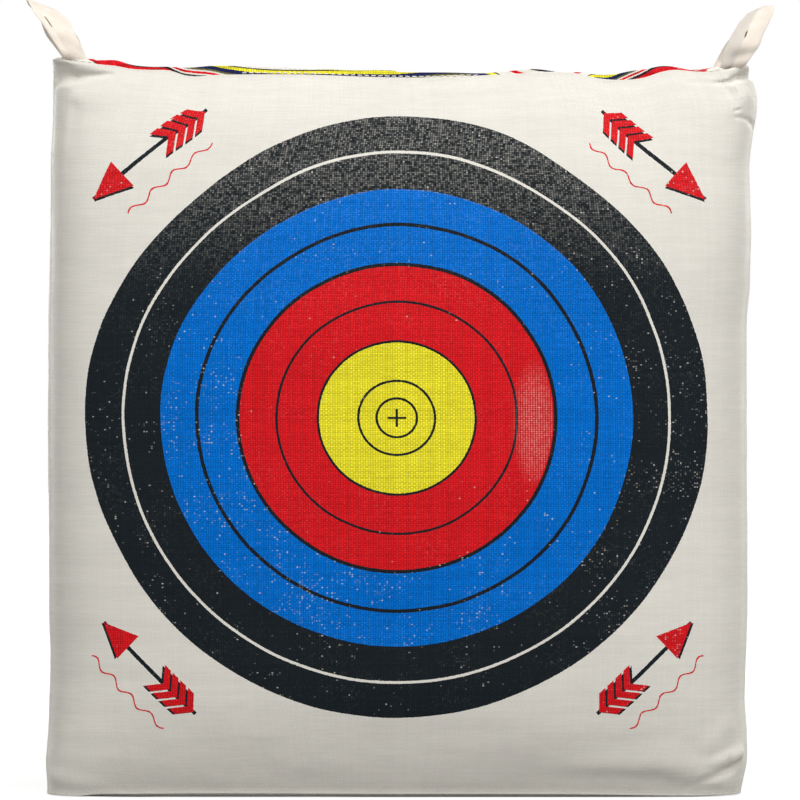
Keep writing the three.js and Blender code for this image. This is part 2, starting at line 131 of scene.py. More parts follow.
OUTLINE_X, OUTLINE_Y, OUTLINE_ARC = outline()
OUTLINE_TURN = np.arctan2(OUTLINE_X, -OUTLINE_Y)
OUTLINE_TURN[0], OUTLINE_TURN[-1] = -np.pi, np.pi
GIRTH = OUTLINE_ARC[-1] * 2
BACK = GIRTH / 2


def arc_of(x, y):
    return np.interp(np.arctan2(x, -y), OUTLINE_TURN, OUTLINE_ARC)


def wrap(arc):
    return (arc + BACK) % GIRTH - BACK


def ray_at(arc):
    arc = wrap(arc)
    return np.interp(arc, OUTLINE_ARC, OUTLINE_X), np.interp(arc, OUTLINE_ARC, OUTLINE_Y)


def on_wall(arc, z, inset=0.0):
    """Point of the sewn wall at an arc length and a height, before it settles."""
    dx, dy = ray_at(arc)
    scale = 1 / wall_share(dx, dy, z, inset)
    return np.stack([dx * scale, dy * scale, z * np.ones_like(scale)], axis=-1)


def outward(arc):
    """Level outward direction at an arc length."""
    gx, gy = (np.sign(d) * (np.abs(d) / half) ** (BODY_SQUARENESS - 1) / half
              for d, half in zip(ray_at(arc), (HALF_WIDTH, HALF_DEPTH)))
    return unit(np.stack([gx, gy, np.zeros_like(gx)], axis=-1))


SIDE_SEAM = arc_of(HALF_WIDTH * 0.992, 78 * MM - HALF_DEPTH)
CORNER = arc_of(HALF_WIDTH * 0.95, -HALF_DEPTH * 0.88)


def lattice(seed, u, v, step_u, step_v, period=None):
    """Smooth noise from -1 to 1 on a lattice of steps in metres."""
    count = 0 if period is None else max(1, round(period / step_u))
    gu, gv = u / (period / count if count else step_u), v / step_v
    iu, iv = np.floor(gu).astype(int), np.floor(gv).astype(int)
    fu, fv = smooth(gu - iu), smooth(gv - iv)
    values = np.random.default_rng(seed).uniform(-1, 1, (LATTICE_CELLS, LATTICE_CELLS))

    def row(j):
        ends = [values[(i % count if count else i) % LATTICE_CELLS, j % LATTICE_CELLS] for i in (iu, iu + 1)]
        return between(ends, fu)

    return between((row(iv), row(iv + 1)), fv)


def curve(places, values, at):
    """A smooth curve through values at places, read at other places."""
    slopes = np.gradient(values, places, axis=0)
    i = np.clip(np.searchsorted(places, at) - 1, 0, len(places) - 2)
    widen = (..., *[None] * (values.ndim - 1))
    width = (places[i + 1] - places[i])[widen]
    t = (at - places[i])[widen] / width
    return (between((values[i], values[i + 1]), 3 * t**2 - 2 * t**3)
            + width * (slopes[i] * t * (1 - t) ** 2 - slopes[i + 1] * t**2 * (1 - t)))


def through(points, at):
    """A smooth curve through (place, value) pairs given in millimetres, level past its ends."""
    places, values = np.array(points, float).T * MM
    return curve(places, values, np.clip(at, places[0], places[-1]))


# How far the two sides stand to the right of the pattern, by height: the bag leans and bulges
LEFT_SWAY = [(0, -6.5), (6, -6.2), (12, -5.7), (31, -5.4), (62, -1.8), (93, 0.3), (125, 1.6), (187, 0.8),
             (281, 0.5), (375, -0.2), (437, -0.7), (500, 0), (563, 1.3), (615, 2), (657, 1.4),
             (688, 3.2), (714, 3.4), (728, 3.2), (736, 3.4), (745, 2.2)]
RIGHT_SWAY = [(0, -2.5), (5, -2), (10, -1.3), (31, 2), (62, 1.2), (93, -1.8), (125, -1.8), (187, 0),
              (437, 0), (490, 0.3), (530, 3.2), (563, 4.2), (615, 4), (657, 3.4), (688, 8.4),
              (714, 11.6), (736, 6.2), (745, 3.4)]
# How far the edge of the top stands over the pattern: front and back by x, left and right by y
FRONT_RIM = [(-362, 15), (-350, 14.5), (-328, 12.8), (-315, 11.4), (-296, 9.4), (-281, 6.7),
             (-260, 5.6), (-240, 5), (-222, -0.3), (-188, 0.5), (-102, 0.8), (-15, -2), (32, -2.3),
             (88, 0.1), (127, 2), (185, 1.4), (202, -2.6), (234, -4.6), (254, -2.1), (270, 3.2),
             (280, 5.2), (311, 3.8), (333, 3.8), (347, 6), (357, 8), (364, 9.5)]
BACK_RIM = [(-362, 8), (-330, 7), (-280, 1), (-200, 3), (-120, -2), (-30, -4), (60, -1),
            (150, -3), (230, 2), (300, 3), (340, 9), (364, 8)]
LEFT_RIM = [(-152, 14.5), (-132, 17), (-112, 17), (-92, 12), (-66, 4), (-30, -1), (10, -3),
            (60, -1), (110, 4), (152, 8)]
RIGHT_RIM = [(-152, 6.5), (-132, 9.5), (-112, 10.5), (-90, 7), (-62, 2), (-20, -2), (30, -2),
             (90, 2), (125, 7), (152, 8)]


# Shares of the half depth between which the tables of the faces take over from the sides'
RIM_ON_FACE, FIN_ON_FACE, TUCK_ON_FACE = (0.86, 0.96), (0.7, 0.8), (0.6, 0.75)


def rim_lift(x, y):
    """Rise of the top seam over the pattern, all round."""
    on_face = ease(np.abs(y) / (HALF_DEPTH - TOP_DRAWN[1] / 2), *RIM_ON_FACE)
    face = np.where(y < 0, through(FRONT_RIM, x), through(BACK_RIM, x))
    side = np.where(x < 0, through(LEFT_RIM, y), through(RIGHT_RIM, y))
    return between((side, face), on_face)


# Pleats and folds: ends on the pattern as (x, y, z), depth at each end, and width of the upper
# and the lower flank at each end, in millimetres. A negative depth is a ridge.
FRONT = -178
FOLDS = [
    # upper left corner: the wedge under the strap, the roll below it and a dent in the side
    ((-309, FRONT, 735), (-346, FRONT, 728), (2.4, 11), (1.6, 6.5), (4, 6)),
    ((-346, FRONT, 728), (-361, -120, 726), (11, 5), (6.5, 9), (6, 7)),
    ((-314, FRONT, 741), (-356, FRONT, 744), (-0.8, -5.5), (4, 4), (3, 4)),
    ((-300, FRONT, 718), (-350, -150, 712), (-0.4, -1.8), (8, 8), (14, 12)),
    ((-352, -150, 700), (-338, FRONT, 664), (1.4, 0.3), (6, 6), (6, 6)),
    # upper right corner: a deep tuck, a crease that runs down from it and smaller ones
    ((320, FRONT, 733), (341, FRONT, 733), (0.8, 6.5), (1.6, 2), (2, 3.5)),
    ((341, FRONT, 733), (357, FRONT, 736), (6.5, 12.5), (2.4, 4.4), (3, 4)),
    ((357, FRONT, 736), (368, -70, 735), (12.5, 1), (4.4, 5), (4, 5)),
    ((338, FRONT, 741.5), (358, FRONT, 744), (-1, -2.5), (3, 3), (2.5, 2.5)),
    ((337, FRONT, 734), (343, FRONT, 716), (-2.6, -2.4), (1.5, 1.5), (1.5, 1.5)),
    ((332, FRONT, 731), (338, FRONT, 712), (3.4, 1.4), (1.8, 1.8), (1.8, 1.8)),
    ((300, FRONT, 732), (318, FRONT, 733), (0.5, 0.5), (2, 2), (2, 2)),
    ((352, -148, 705), (354, -145, 704), (2, 2), (1.6, 1.6), (1.6, 1.6)),
    ((354, -145, 697), (365, -105, 686), (1.6, 4), (1.6, 2.4), (1.8, 2.6)),
    ((330, FRONT, 702), (358, -138, 716), (-0.4, -2), (9, 10), (9, 10)),
    # lower right corner: a ridge with a crease under it
    ((308, FRONT, 18), (359, -140, 33), (1.4, 6.5), (3, 4), (4, 5)),
    ((306, FRONT, 30), (361, -135, 44), (-1.5, -4.5), (7, 8), (5, 6)),
    ((336, FRONT, 24), (352, -148, 38), (1.5, 2), (2, 3), (2, 3)),
    ((306, FRONT, 46), (352, -148, 74), (-0.5, -2), (10, 12), (10, 12)),
    ((150, FRONT, 34), (270, FRONT, 32), (-0.6, -4), (14, 22), (8, 8)),
    ((270, FRONT, 32), (342, FRONT, 14), (-4, -1.5), (20, 12), (8, 6)),
    # lower left corner
    ((-300, FRONT, 14), (-361, -135, 20), (-0.5, -2.5), (8, 9), (6, 6)),
]
FOLD_PAST_END, FOLD_ACROSS, FLANK_SPREAD, FOLD_FADE = 0.4, 40 * MM, 1.6, 6 * MM
# Scattered folds: where the fans at the rear corners stand and point, where single folds hang on
# the sides and the back, and how far each may stray, in millimetres and degrees
FOLD_SEED, FAN_X, FAN_Y, FAN_ANGLES, FAN_STRAY = 21, 352, 150, (-78, -52, -20, 14, 46), 8
FAN_START, FAN_REACH, FAN_DEPTH = (8, 16), (34, 78), (1.6, 4.4)
SIDE_PLACES, SIDE_STRAY = (-62, -24, 22, 58), 9
BACK_PLACES, BACK_STRAY = range(-270, 271, 60), 18


def scatter_folds():
    """Folds that fan out from the rear corners and hang from the side and rear seams."""
    draw = np.random.default_rng(FOLD_SEED).uniform
    sole, top = (SOLE_SEAM / MM, 1), (TOP_SEAM / MM, -1)
    folds = []

    def hang(middle, seam, down, lengths, lean, depths, last_depth, flank):
        reach, aside = draw(*lengths), draw(-lean, lean)
        ends = (middle, seam + down * 2), (middle + aside, seam + down * reach)
        folds.append((*ends, (draw(*depths), last_depth), flank, flank))

    for side in (-1, 1):
        corner = arc_of(side * FAN_X * MM, FAN_Y * MM) / MM
        for seam, down in (sole, top):
            for fan in FAN_ANGLES:
                angle = math.radians(fan + draw(-FAN_STRAY, FAN_STRAY))
                along, drop = side * math.sin(angle), math.cos(angle)
                start, reach, depth = draw(*FAN_START), draw(*FAN_REACH), draw(*FAN_DEPTH)
                ends = [(corner + along * r, seam + down * (4 + drop * r)) for r in (start, reach)]
                folds.append((*ends, (depth, 0.3), (draw(3, 6), 8), (draw(3, 7), 8)))
    for side in (-1, 1):
        for y in SIDE_PLACES:
            for seam in (top, sole):
                middle = arc_of(side * HALF_WIDTH, (y + draw(-SIDE_STRAY, SIDE_STRAY)) * MM) / MM
                hang(middle, *seam, (30, 85), 14, (1, 2.6), 0.2, (4, 9))
    for x in BACK_PLACES:
        middle = wrap(BACK - (x + draw(-BACK_STRAY, BACK_STRAY)) * MM) / MM
        hang(middle, *top, (20, 70), 12, (0.6, 1.8), 0.1, (4, 10))
    return folds


def on_pattern(end):
    """Arc length and height of a fold's end."""
    if len(end) == 2:
        return np.array(end) * MM
    x, y, z = (value * MM for value in end)
    if end[1] == FRONT:
        y = -wall_depth(x, z)
    return np.array([arc_of(x, y), z])


PLEATS = [(on_pattern(start), on_pattern(end), *sizes) for start, end, *sizes in FOLDS + scatter_folds()]


def pleats(arc, z):
    """Height of the highest ridge less the depth of the deepest fold at points of the wall."""
    groove, ridge = np.zeros_like(z), np.zeros_like(z)
    for start, end, *sizes in PLEATS:
        run = np.array([wrap(end[0] - start[0]), end[1] - start[1]])
        length = np.hypot(*run)
        along = run / length
        du, dv = wrap(arc - start[0]), z - start[1]
        t = (du * along[0] + dv * along[1]) / length
        across = dv * abs(along[0]) - du * along[1] * np.sign(along[0] or 1)
        near = (np.abs(t - 0.5) < 0.5 + FOLD_PAST_END) & (np.abs(across) < FOLD_ACROSS)
        t, across = t[near], across[near]
        inside = np.clip(t, 0, 1)
        deep, wide_up, wide_low = (between(ends, inside) * MM for ends in sizes)
        wide = np.where(across > 0, wide_up, wide_low)
        flank = 1 - smooth(np.abs(across) / (FLANK_SPREAD * wide))
        shape = deep * flank * (1 - smooth(np.abs(t - inside) * length / (FOLD_FADE + wide)))
        groove[near] = np.maximum(groove[near], shape)
        ridge[near] = np.maximum(ridge[near], -shape)
    return ridge - groove


# How far the two faces stand out over the pattern, by height: they round over at the top
FACE_ROUND = [(0, 0), (420, 0), (520, 1), (600, 2.5), (650, 1.5), (690, -2), (720, -6.5), (745, -12)]
# Noise of the wall, as seed, height in millimetres, and steps along and up in metres: swell,
# bulge, ripple, fine creases and the pucker that hangs from the top seam
WALL_NOISE = [(3, 2.4, 0.17, 0.15), (4, 0.9, 0.075, 0.06), (5, 0.38, 0.085, 0.017),
              (6, 0.16, 0.022, 0.011), (7, 1.3, 0.014, 0.2)]
SEAM_HOLD, PUCKER_REACH, PUCKER_MOST = 60 * MM, 38 * MM, 1.25
SIDE_CALM, CALM_FACE = 0.35, (0.2, 0.8)


def relief(arc, z):
    """How far the outside of the wall stands out from the pattern."""
    face = np.abs(outward(arc)[..., 1])
    rounding = through(FACE_ROUND, z) * face**2
    calm = between((SIDE_CALM, 1), ease(face, *CALM_FACE))
    seams = smooth((z - SOLE_SEAM) / SEAM_HOLD) * smooth((TOP_SEAM - z) / SEAM_HOLD)
    hang = np.exp(-np.maximum(TOP_SEAM - z, 0) / PUCKER_REACH) * (PUCKER_MOST - calm)
    swell, bulge, ripple, fine, pucker = (height * MM * lattice(seed, arc, z, along, up, GIRTH)
                                          for seed, height, along, up in WALL_NOISE)
    return (swell + bulge) * calm * seams + ripple + fine + pucker * hang + pleats(arc, z) + rounding


# Sag of the top between the seams and drop of the front's foot, by x
TOP_SAG = [(-362, 2), (-330, 1), (-280, -3), (-240, -6), (-200, -5), (-147, -6), (-96, -9),
           (-20, -10), (60, -12), (110, -10), (136, -8), (187, -11), (213, -12), (265, -6),
           (311, -4), (340, 0), (362, 2)]
FOOT_DROP = [(-362, -5), (-352, -5), (-325, -4.8), (-305, -2.4), (-262, -1.6), (0, -1.6),
             (200, -2.2), (300, -4), (362, -4.5)]
LIFT_FROM, SAG_FROM, FOOT_TO, LEAST_Z = 590 * MM, 640 * MM, 30 * MM, 0.3 * MM
SLACK_TOP, SLACK_FOOT, CORNER_SLACK, INNER_BULGE = 90 * MM, 60 * MM, 1.6, 0.5 * MM
CORNER_WIDE, CORNER_DEEP, MOST_SHARE, RIM_SHARE = (0.75, 0.95), (0.3, 0.7), 1.03, 0.955
# Noise of the top, as seed, height and steps
TOP_NOISE = [(11, 2.6 * MM, 0.09, 0.07), (12, 0.8 * MM, 0.028, 0.05)]


def settle(points, slack=0.0):
    """Moves points of the pattern to where the stuffed bag has them. Inner pieces draw in by
    slack, which keeps them clear of the folds."""
    x, y, z = points[..., 0], points[..., 1], points[..., 2]
    share = np.clip(wall_share(x, y, z), 0, MOST_SHARE)
    arc = arc_of(x, y)
    hold = share**4
    push = relief(arc, z) * hold
    if slack:
        corner = ease(np.abs(x) / HALF_WIDTH, *CORNER_WIDE) * ease(np.abs(y) / HALF_DEPTH, *CORNER_DEEP)
        end = np.maximum(1 - smooth((TOP_SEAM - z) / SLACK_TOP), 1 - smooth(z / SLACK_FOOT))
        push = np.minimum(push, INNER_BULGE) - slack * hold * (1 + CORNER_SLACK * corner * end)
    over = np.clip(x / section(z)[0] * 0.5 + 0.5, 0, 1)
    sway = between((through(LEFT_SWAY, z), through(RIGHT_SWAY, z)), over)
    rise = rim_lift(x, y) * ease(z, LIFT_FROM, TOP_SEAM) ** 1.5 * np.minimum(share / RIM_SHARE, 1) ** 6
    lumps = sum(height * lattice(seed, x + 1, y + 1, *steps) for seed, height, *steps in TOP_NOISE)
    middle = (through(TOP_SAG, x) + lumps) * ease(z, SAG_FROM, TOP_SEAM) * (1 - share**8)
    foot = through(FOOT_DROP, x) * (1 - smooth(z / FOOT_TO)) * smooth(-2 * y / HALF_DEPTH) * share**10
    foot = np.maximum(foot, LEAST_Z - z)
    moved = points + outward(arc) * push[..., None]
    return moved + np.stack([sway, np.zeros_like(sway), rise + middle + foot], axis=-1)


# Meshes
def make_object(name, points, faces, materials, uvs=None, floats=None):
    mesh = bpy.data.meshes.new(name)
    mesh.from_pydata(points.tolist(), [], faces)
    corners = np.empty(len(mesh.loops), np.int32)
    mesh.loops.foreach_get("vertex_index", corners)
    for layer, values in (uvs or {}).items():
        uv = mesh.uv_layers.new(name=layer)
        uv.data.foreach_set("uv", values[corners].astype(np.float32).ravel())
    for layer, values in (floats or {}).items():
        attribute = mesh.attributes.new(layer, "FLOAT", "POINT")
        attribute.data.foreach_set("value", values.astype(np.float32))
    mesh.polygons.foreach_set("use_smooth", np.ones(len(mesh.polygons), bool))
    mesh.set_sharp_from_angle(angle=math.radians(60))
    for material in materials:
        mesh.materials.append(material)
    mesh.validate()
    piece = bpy.data.objects.new(name, mesh)
    bpy.context.scene.collection.objects.link(piece)
    return piece


def on_bag(piece, node):
    """Fixes a piece to the bag's body, in place of one node of the model."""
    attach(piece, "bag")
    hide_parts(node)


def sheet_faces(rows, columns):
    """Faces of a closed sheet: a fine outer grid, an inner grid of half as many cells and the
    strips between them. Rows and columns count points and are odd."""
    outer = np.arange(rows * columns).reshape(rows, columns)
    half = ((rows + 1) // 2, (columns + 1) // 2)
    inner = rows * columns + np.arange(half[0] * half[1]).reshape(half)

    def quads(grid):
        corners = grid[:-1, :-1], grid[:-1, 1:], grid[1:, 1:], grid[1:, :-1]
        return np.stack(corners, axis=-1).reshape(-1, 4).tolist()

    faces = quads(outer) + [face[::-1] for face in quads(inner)]
    for fine, coarse in ((outer[0, ::-1], inner[0, ::-1]), (outer[:, 0], inner[:, 0]),
                         (outer[-1], inner[-1]), (outer[::-1, -1], inner[::-1, -1])):
        for (p, q, r), (s, t) in zip(zip(fine[:-2:2], fine[1::2], fine[2::2]), zip(coarse, coarse[1:])):
            faces += [[int(i) for i in face] for face in ((p, q, s), (q, t, s), (q, r, t))]
    return faces


def cloth_sheet(name, node, outer, thickness, pattern, materials, floats=None):
    """A closed sheet of cloth behind a fine outer grid whose normals point out."""
    normals = unit(np.cross(np.gradient(outer, axis=1), np.gradient(outer, axis=0)))
    inner = (outer - normals * thickness[..., None])[::2, ::2]

    def both(front, back):
        return np.concatenate([part.reshape(-1, *part.shape[2:]) for part in (front, back)])

    uvs = {"Cloth": both(pattern, pattern[::2, ::2])}
    floats = {layer: both(values, values[::2, ::2]) for layer, values in (floats or {}).items()}
    faces = sheet_faces(*outer.shape[:2])
    on_bag(make_object(name, both(outer, inner), faces, materials, uvs, floats), node)


def stations(*runs):
    """Places along runs of (start, end, step), with an even number of steps in all."""
    places = [runs[0][0]]
    for start, end, step in runs:
        count = max(2, 2 * round(abs(end - start) / step / 2))
        places.extend(np.linspace(start, end, count + 1)[1:])
    return np.array(places)


# The walls. Their rows are fine at the seams, where the cloth folds.
WALL_LOW, WALL_HIGH = SOLE_SEAM - HEM_RISE, TOP_SEAM + HEM_RISE
WALL_ROWS = stations((WALL_LOW, 0.07, 0.0032), (0.07, 0.62, 0.0075), (0.62, 0.69, 0.0035),
                     (0.69, WALL_HIGH, 0.0018))
STEP_FACE, STEP_CORNER, STEP_SIDE, FLAT = 6.5 * MM, 2.2 * MM, 5.0 * MM, 296 * MM
HEM, SEAM_INSET, SEAM_GROOVE, HEM_STAND, HEM_UNDER = 11 * MM, 5 * MM, 1.2 * MM, 0.8 * MM, -0.3 * MM
PANEL_GAP, HEM_LIP, HEM_END, GROOVE_WIDTH, EDGE_THIN = 0.2 * MM, 1.2 * MM, 2.5 * MM, 2.6 * MM, 20 * MM


def wall_cover(side, runs, hem, material):
    """One of the four wall panels, along runs of arc length. Its hem stands out at both seams, or
    lies under where it is below 0."""
    start, end = runs[0][0], runs[-1][1]
    arc, z = np.meshgrid(stations(*runs), WALL_ROWS)
    arc = np.clip(arc, start + PANEL_GAP, end - PANEL_GAP)
    edge = np.minimum(arc - start, end - arc)
    stand = hem * smooth(edge / HEM_LIP) * (1 - smooth((edge - HEM) / HEM_END))
    groove = np.exp(-((edge - SEAM_INSET) / GROOVE_WIDTH) ** 2) * (hem > 0)
    stand -= groove * SEAM_GROOVE * (1 + 0.3 * lattice(17, z + 1, arc, 0.007, 0.02))
    placed = settle(on_wall(arc, z)) + outward(arc) * stand[..., None]
    deep = np.minimum(edge, np.minimum(z - WALL_LOW, WALL_HIGH - z))
    thickness = CLOTH * (1 + smooth(deep / EDGE_THIN))
    pattern = np.stack([arc, z], axis=-1)
    cloth_sheet(f"{side}_cover", f"{side}_panel", placed, thickness, pattern, [material])


def add_walls(printed, plain):
    steps = (STEP_CORNER, STEP_FACE, STEP_CORNER)
    for side, middle, material in (("front", 0.0, printed), ("back", BACK, plain)):
        ends = [middle + place for place in (-SIDE_SEAM, -FLAT, FLAT, SIDE_SEAM)]
        wall_cover(side, list(zip(ends, ends[1:], steps)), HEM_STAND, material)
    for side, start in (("right_side", SIDE_SEAM), ("left_side", BACK + SIDE_SEAM)):
        wall_cover(side, [(start, start + BACK - 2 * SIDE_SEAM, STEP_SIDE)], HEM_UNDER, plain)


# The top edge: the cover of the top stands up behind the walls as a folded, stitched hem.
# Its profile as (inset from the wall, rise over the seam), for a hem of unit height.
FIN = [(1.9, -0.5), (1.7, 0.08), (1.6, 0.32), (1.6, 0.58), (1.7, 0.8), (2.1, 0.95), (2.9, 1),
       (3.7, 0.92), (4.2, 0.7), (4.6, 0.45), (5.2, 0.22), (6.4, 0.12), (8.5, 0.16)]
FIN_HEIGHT = [(-362, 3.2), (-338, 3), (-326, 4), (-308, 7), (-294, 8.6), (-282, 7.4), (-262, 6.4),
              (-235, 7.6), (-222, 11), (-175, 12), (-145, 10.8), (-120, 10), (-90, 9), (0, 9.4), (50, 8.4),
              (85, 5.8), (110, 6.4), (136, 7.4), (162, 4), (188, 6), (215, 9), (240, 12.5), (265, 9.8),
              (290, 5), (311, 3.4), (345, 3), (362, 3)]
SIDE_FIN, FIN_STEP, FIN_INSET, TUCK, TUCK_FADE = 4.6 * MM, 0.4 * MM, 1.6 * MM, 3.2 * MM, 7 * MM
# A wave that shifts the printed border of the top along its edge, in millimetres
WAVE = [(-362, 9), (-330, 2), (-322, 0.5), (-318, -0.5), (-292, 0), (-281, -2), (-268, -3.5), (-255, -3),
        (-243, -3.5), (-235, -6), (-215, -6.6), (-200, -8.5), (-185, -12.5), (-165, -16), (-20, -16.5),
        (85, -17), (100, -22.5), (112, -28), (185, -29), (197, -20), (215, -17), (232, -9), (247, -4),
        (262, 0), (280, -2), (312, -1), (330, 3), (362, 9)]
TOP_COLUMNS, TOP_ROWS, TOP_EASE, BEHIND_FIN, NO_BAND = 137, 75, 1.15, 26 * MM, -8
SOLE_COLUMNS, SOLE_ROWS, SOLE_EASE, SOLE_INSET, SOLE_FLAT = 109, 65, math.pi / 2 * 0.86, 1.6 * MM, 0.94
EDGE_CLOTH, BORDER_SHARE, BORDER_REACH = 30 * MM, (0.86, 0.9), 0.93


def on_both_faces(table, x, y):
    """A table by x for the front, turned round for the back."""
    return through(table, np.where(y < 0, x, -x))


def fin_height(x, y):
    on_face = ease(np.abs(y) / HALF_DEPTH, *FIN_ON_FACE)
    return between((SIDE_FIN, on_both_faces(FIN_HEIGHT, x, y)), on_face)


def strap_tuck(x, y):
    """How far the top's edge is pushed in where a strap comes up between it and the wall."""
    across = (np.abs(np.abs(x) - STRAP_X) - STRAP_ROOT / 2) / TUCK_FADE
    return TUCK * (1 - smooth(across)) * ease(np.abs(y) / HALF_DEPTH, *TUCK_ON_FACE)


def fin_place(arc, rise, most):
    """A point of the hem's outer face on the pattern: its rise over the walls' edge, held under
    a share of the hem's height."""
    x, y, _ = np.moveaxis(on_wall(arc, TOP_SEAM, FIN_INSET), -1, 0)
    place = on_wall(arc, TOP_SEAM, FIN_INSET + strap_tuck(x, y))
    place[..., 2] += np.minimum(HEM_RISE + rise, fin_height(x, y) * most)
    return place


def square_to_round(u, v, n):
    """A square grid from -1 to 1 drawn in to the rounded section, and each point's reach on it."""
    reach = np.maximum(np.abs(u), np.abs(v))
    scale = reach / np.maximum(rounded_reach(u, v, 1, 1, n), TINY)
    return u * scale, v * scale, reach


def top_cover(materials):
    a, b, n = section(TOP_SEAM)
    inset, level = np.array(FIN).T
    last = len(FIN) - 1

    def axis(count, half):
        t = np.linspace(-1, 1, count)
        edge = 1 - np.arange(len(FIN) + 1) * FIN_STEP / half
        body = np.sign(t) * (1 - (1 - np.abs(t)) ** TOP_EASE) * edge[-1]
        return np.concatenate([-edge[:-1], body, edge[-2::-1]])

    u, v = np.meshgrid(axis(TOP_COLUMNS, a), axis(TOP_ROWS, b))
    i, j = (np.minimum(k, k[::-1, ::-1]) for k in np.indices(u.shape))
    ring = np.minimum(i, j)
    k, on_fin = np.minimum(ring, last), ring <= last
    x, y, reach = square_to_round(u, v, n)
    x, y, edge = x * a, y * b, (1 - reach) * HALF_DEPTH
    height = fin_height(x, y)
    in_by = inset[k] * MM + strap_tuck(x, y)
    # rings of the fin lie at their inset from the outline, and the rest closes up behind them
    share = np.where(on_fin, 1.0, reach / (1 - len(FIN) * FIN_STEP / HALF_DEPTH))
    rim_x, rim_y = (part / np.maximum(reach, TINY) for part in (x, y))
    place_x, place_y = rim_x * (1 - in_by / a) * share, rim_y * (1 - in_by / b) * share
    crown = TOP_CROWN * (1 - wall_share(place_x, place_y, TOP_SEAM) ** CROWN_POWER)
    fin = level[k] * height * np.where(on_fin, 1, 1 - smooth(edge / BEHIND_FIN))
    z = TOP_SEAM + fin + crown * smooth(k / last)
    placed = settle(np.stack([place_x, place_y, z], axis=-1))
    # the printed border, by how far it lies over the hem's foot
    climb = level[0] + np.concatenate([[0], np.cumsum(np.abs(np.diff(level)))])[k]
    distance = climb * height - HEM_RISE + np.where(on_fin, 0, edge)
    band = (distance - on_both_faces(WAVE, x, y)) / MM
    band = between((NO_BAND, band), ease(np.abs(y) / b, *BORDER_SHARE))
    band = np.where(np.abs(rim_y) > b * BORDER_REACH, band, NO_BAND)
    thickness = CLOTH * (0.7 + smooth(edge / EDGE_CLOTH))
    pattern = np.stack([x, y], axis=-1)
    cloth_sheet("top_cover", "top_panel", placed, thickness, pattern, materials, {"band": band})


def bottom_cover(materials):
    a, b, n = section(SOLE_SEAM)
    u, v = np.meshgrid(*(np.sin(np.linspace(-1, 1, count) * SOLE_EASE) / math.sin(SOLE_EASE)
                         for count in (SOLE_COLUMNS, SOLE_ROWS)))
    x, y, reach = square_to_round(u, v[::-1], n)
    x, y = x * (a - SOLE_INSET), y * (b - SOLE_INSET)
    z = SOLE_SEAM * np.clip((reach - SOLE_FLAT) / (1 - SOLE_FLAT), 0, 1) ** 2
    z += 0.25 * MM * (1 + lattice(14, x + 1, y + 1, 0.05, 0.05)) * (1 - reach**6)
    placed = settle(np.stack([x, y, z], axis=-1))
    thickness = CLOTH * (0.8 + 0.4 * smooth((1 - reach) * HALF_DEPTH / EDGE_CLOTH))
    cloth_sheet("bottom_cover", "bottom_panel", placed, thickness, np.stack([x, y], axis=-1), materials)


# Stitches: a shape of (place along, width, lift) for one stitch
STITCH_PITCH, STITCH_LENGTH, THREAD, SEAM_THREAD = 7 * MM, 5.3 * MM, 0.55 * MM, 0.5 * MM
STITCH_SHAPE = [(-0.5, 0.35, -0.9), (-0.42, 0.8, -0.1), (-0.2, 1, 0.55), (0.2, 1, 0.55),
                (0.42, 0.8, -0.1), (0.5, 0.35, -0.9)]
LENGTH_DRAW, SKEW_DRAW, STITCH_REACH = (0.93, 1.05), (-0.09, 0.09), 2 * MM


def tube_faces(rings, sides, first=0):
    """Faces of a tube of rings of points, closed at both ends."""
    faces = []
    for start in range(first, first + (rings - 1) * sides, sides):
        for side in range(sides):
            p, q = start + side, start + (side + 1) % sides
            faces.append([p, q, q + sides, p + sides])
    cap = list(range(first, first + sides))
    return faces + [cap[::-1], [point + (rings - 1) * sides for point in cap]]


def stitches(name, node, path, normals, material, seed, pitch=STITCH_PITCH, length=STITCH_LENGTH,
             radius=THREAD, sides=6):
    """Single stitches along a line on the cloth: short threads that dive in at both ends."""
    draw = np.random.default_rng(seed)
    arc = run_length(path)
    count = max(1, int(arc[-1] / pitch))
    middles = (np.arange(count) + 0.5) * arc[-1] / count
    lengths = length * draw.uniform(*LENGTH_DRAW, count)
    skew = draw.uniform(*SKEW_DRAW, count)
    turns = np.arange(sides)[:, None] / sides * 2 * math.pi

    def read(values, place):
        return np.stack([np.interp(place, arc, column) for column in values.T], axis=-1)

    rings = []
    for at, wide, lift in STITCH_SHAPE:
        place = middles + at * lengths
        normal = read(normals, place)
        along = unit(read(path, place + STITCH_REACH) - read(path, place - STITCH_REACH))
        across = np.cross(normal, along)
        middle = read(path, place) + normal * lift * radius + across * (skew * at * lengths)[:, None]
        around = across[:, None] * np.cos(turns) + normal[:, None] * np.sin(turns)
        rings.append(middle[:, None] + radius * wide * around)
    parts = len(STITCH_SHAPE)
    faces = [face for stitch in range(count) for face in tube_faces(parts, sides, stitch * parts * sides)]
    lay, turn = np.meshgrid(np.linspace(0, length, parts), np.arange(sides) / sides, indexing="ij")
    uv = np.tile(np.stack([lay.ravel(), turn.ravel()], axis=-1), (count, 1))
    points = np.stack(rings, axis=1).reshape(-1, 3)
    on_bag(make_object(name, points, faces, [material], {"Cloth": uv}), node)


# Where the front row of the top stands clear of the wall's edge, and how far it lies under it elsewhere
STITCHES_SHOW, STITCHES_HIDE, TOP_ROW, TOP_ROW_MOST = (-193 * MM, 95 * MM), -1.1 * MM, 2.1 * MM, 0.64
SOLE_ROW, SOLE_CLEAR, SOLE_TUCK, ROW_TUCK, ROW_STAND = -1 * MM, 0.8 * MM, 1.1 * MM, 0.2 * MM, 0.05 * MM
ROW_END, UPRIGHT_LOW, UPRIGHT_HIGH = 5 * MM, SOLE_SEAM + 12 * MM, TOP_SEAM - 2 * MM
ROW_POINTS, UPRIGHT_POINTS = 400, 300


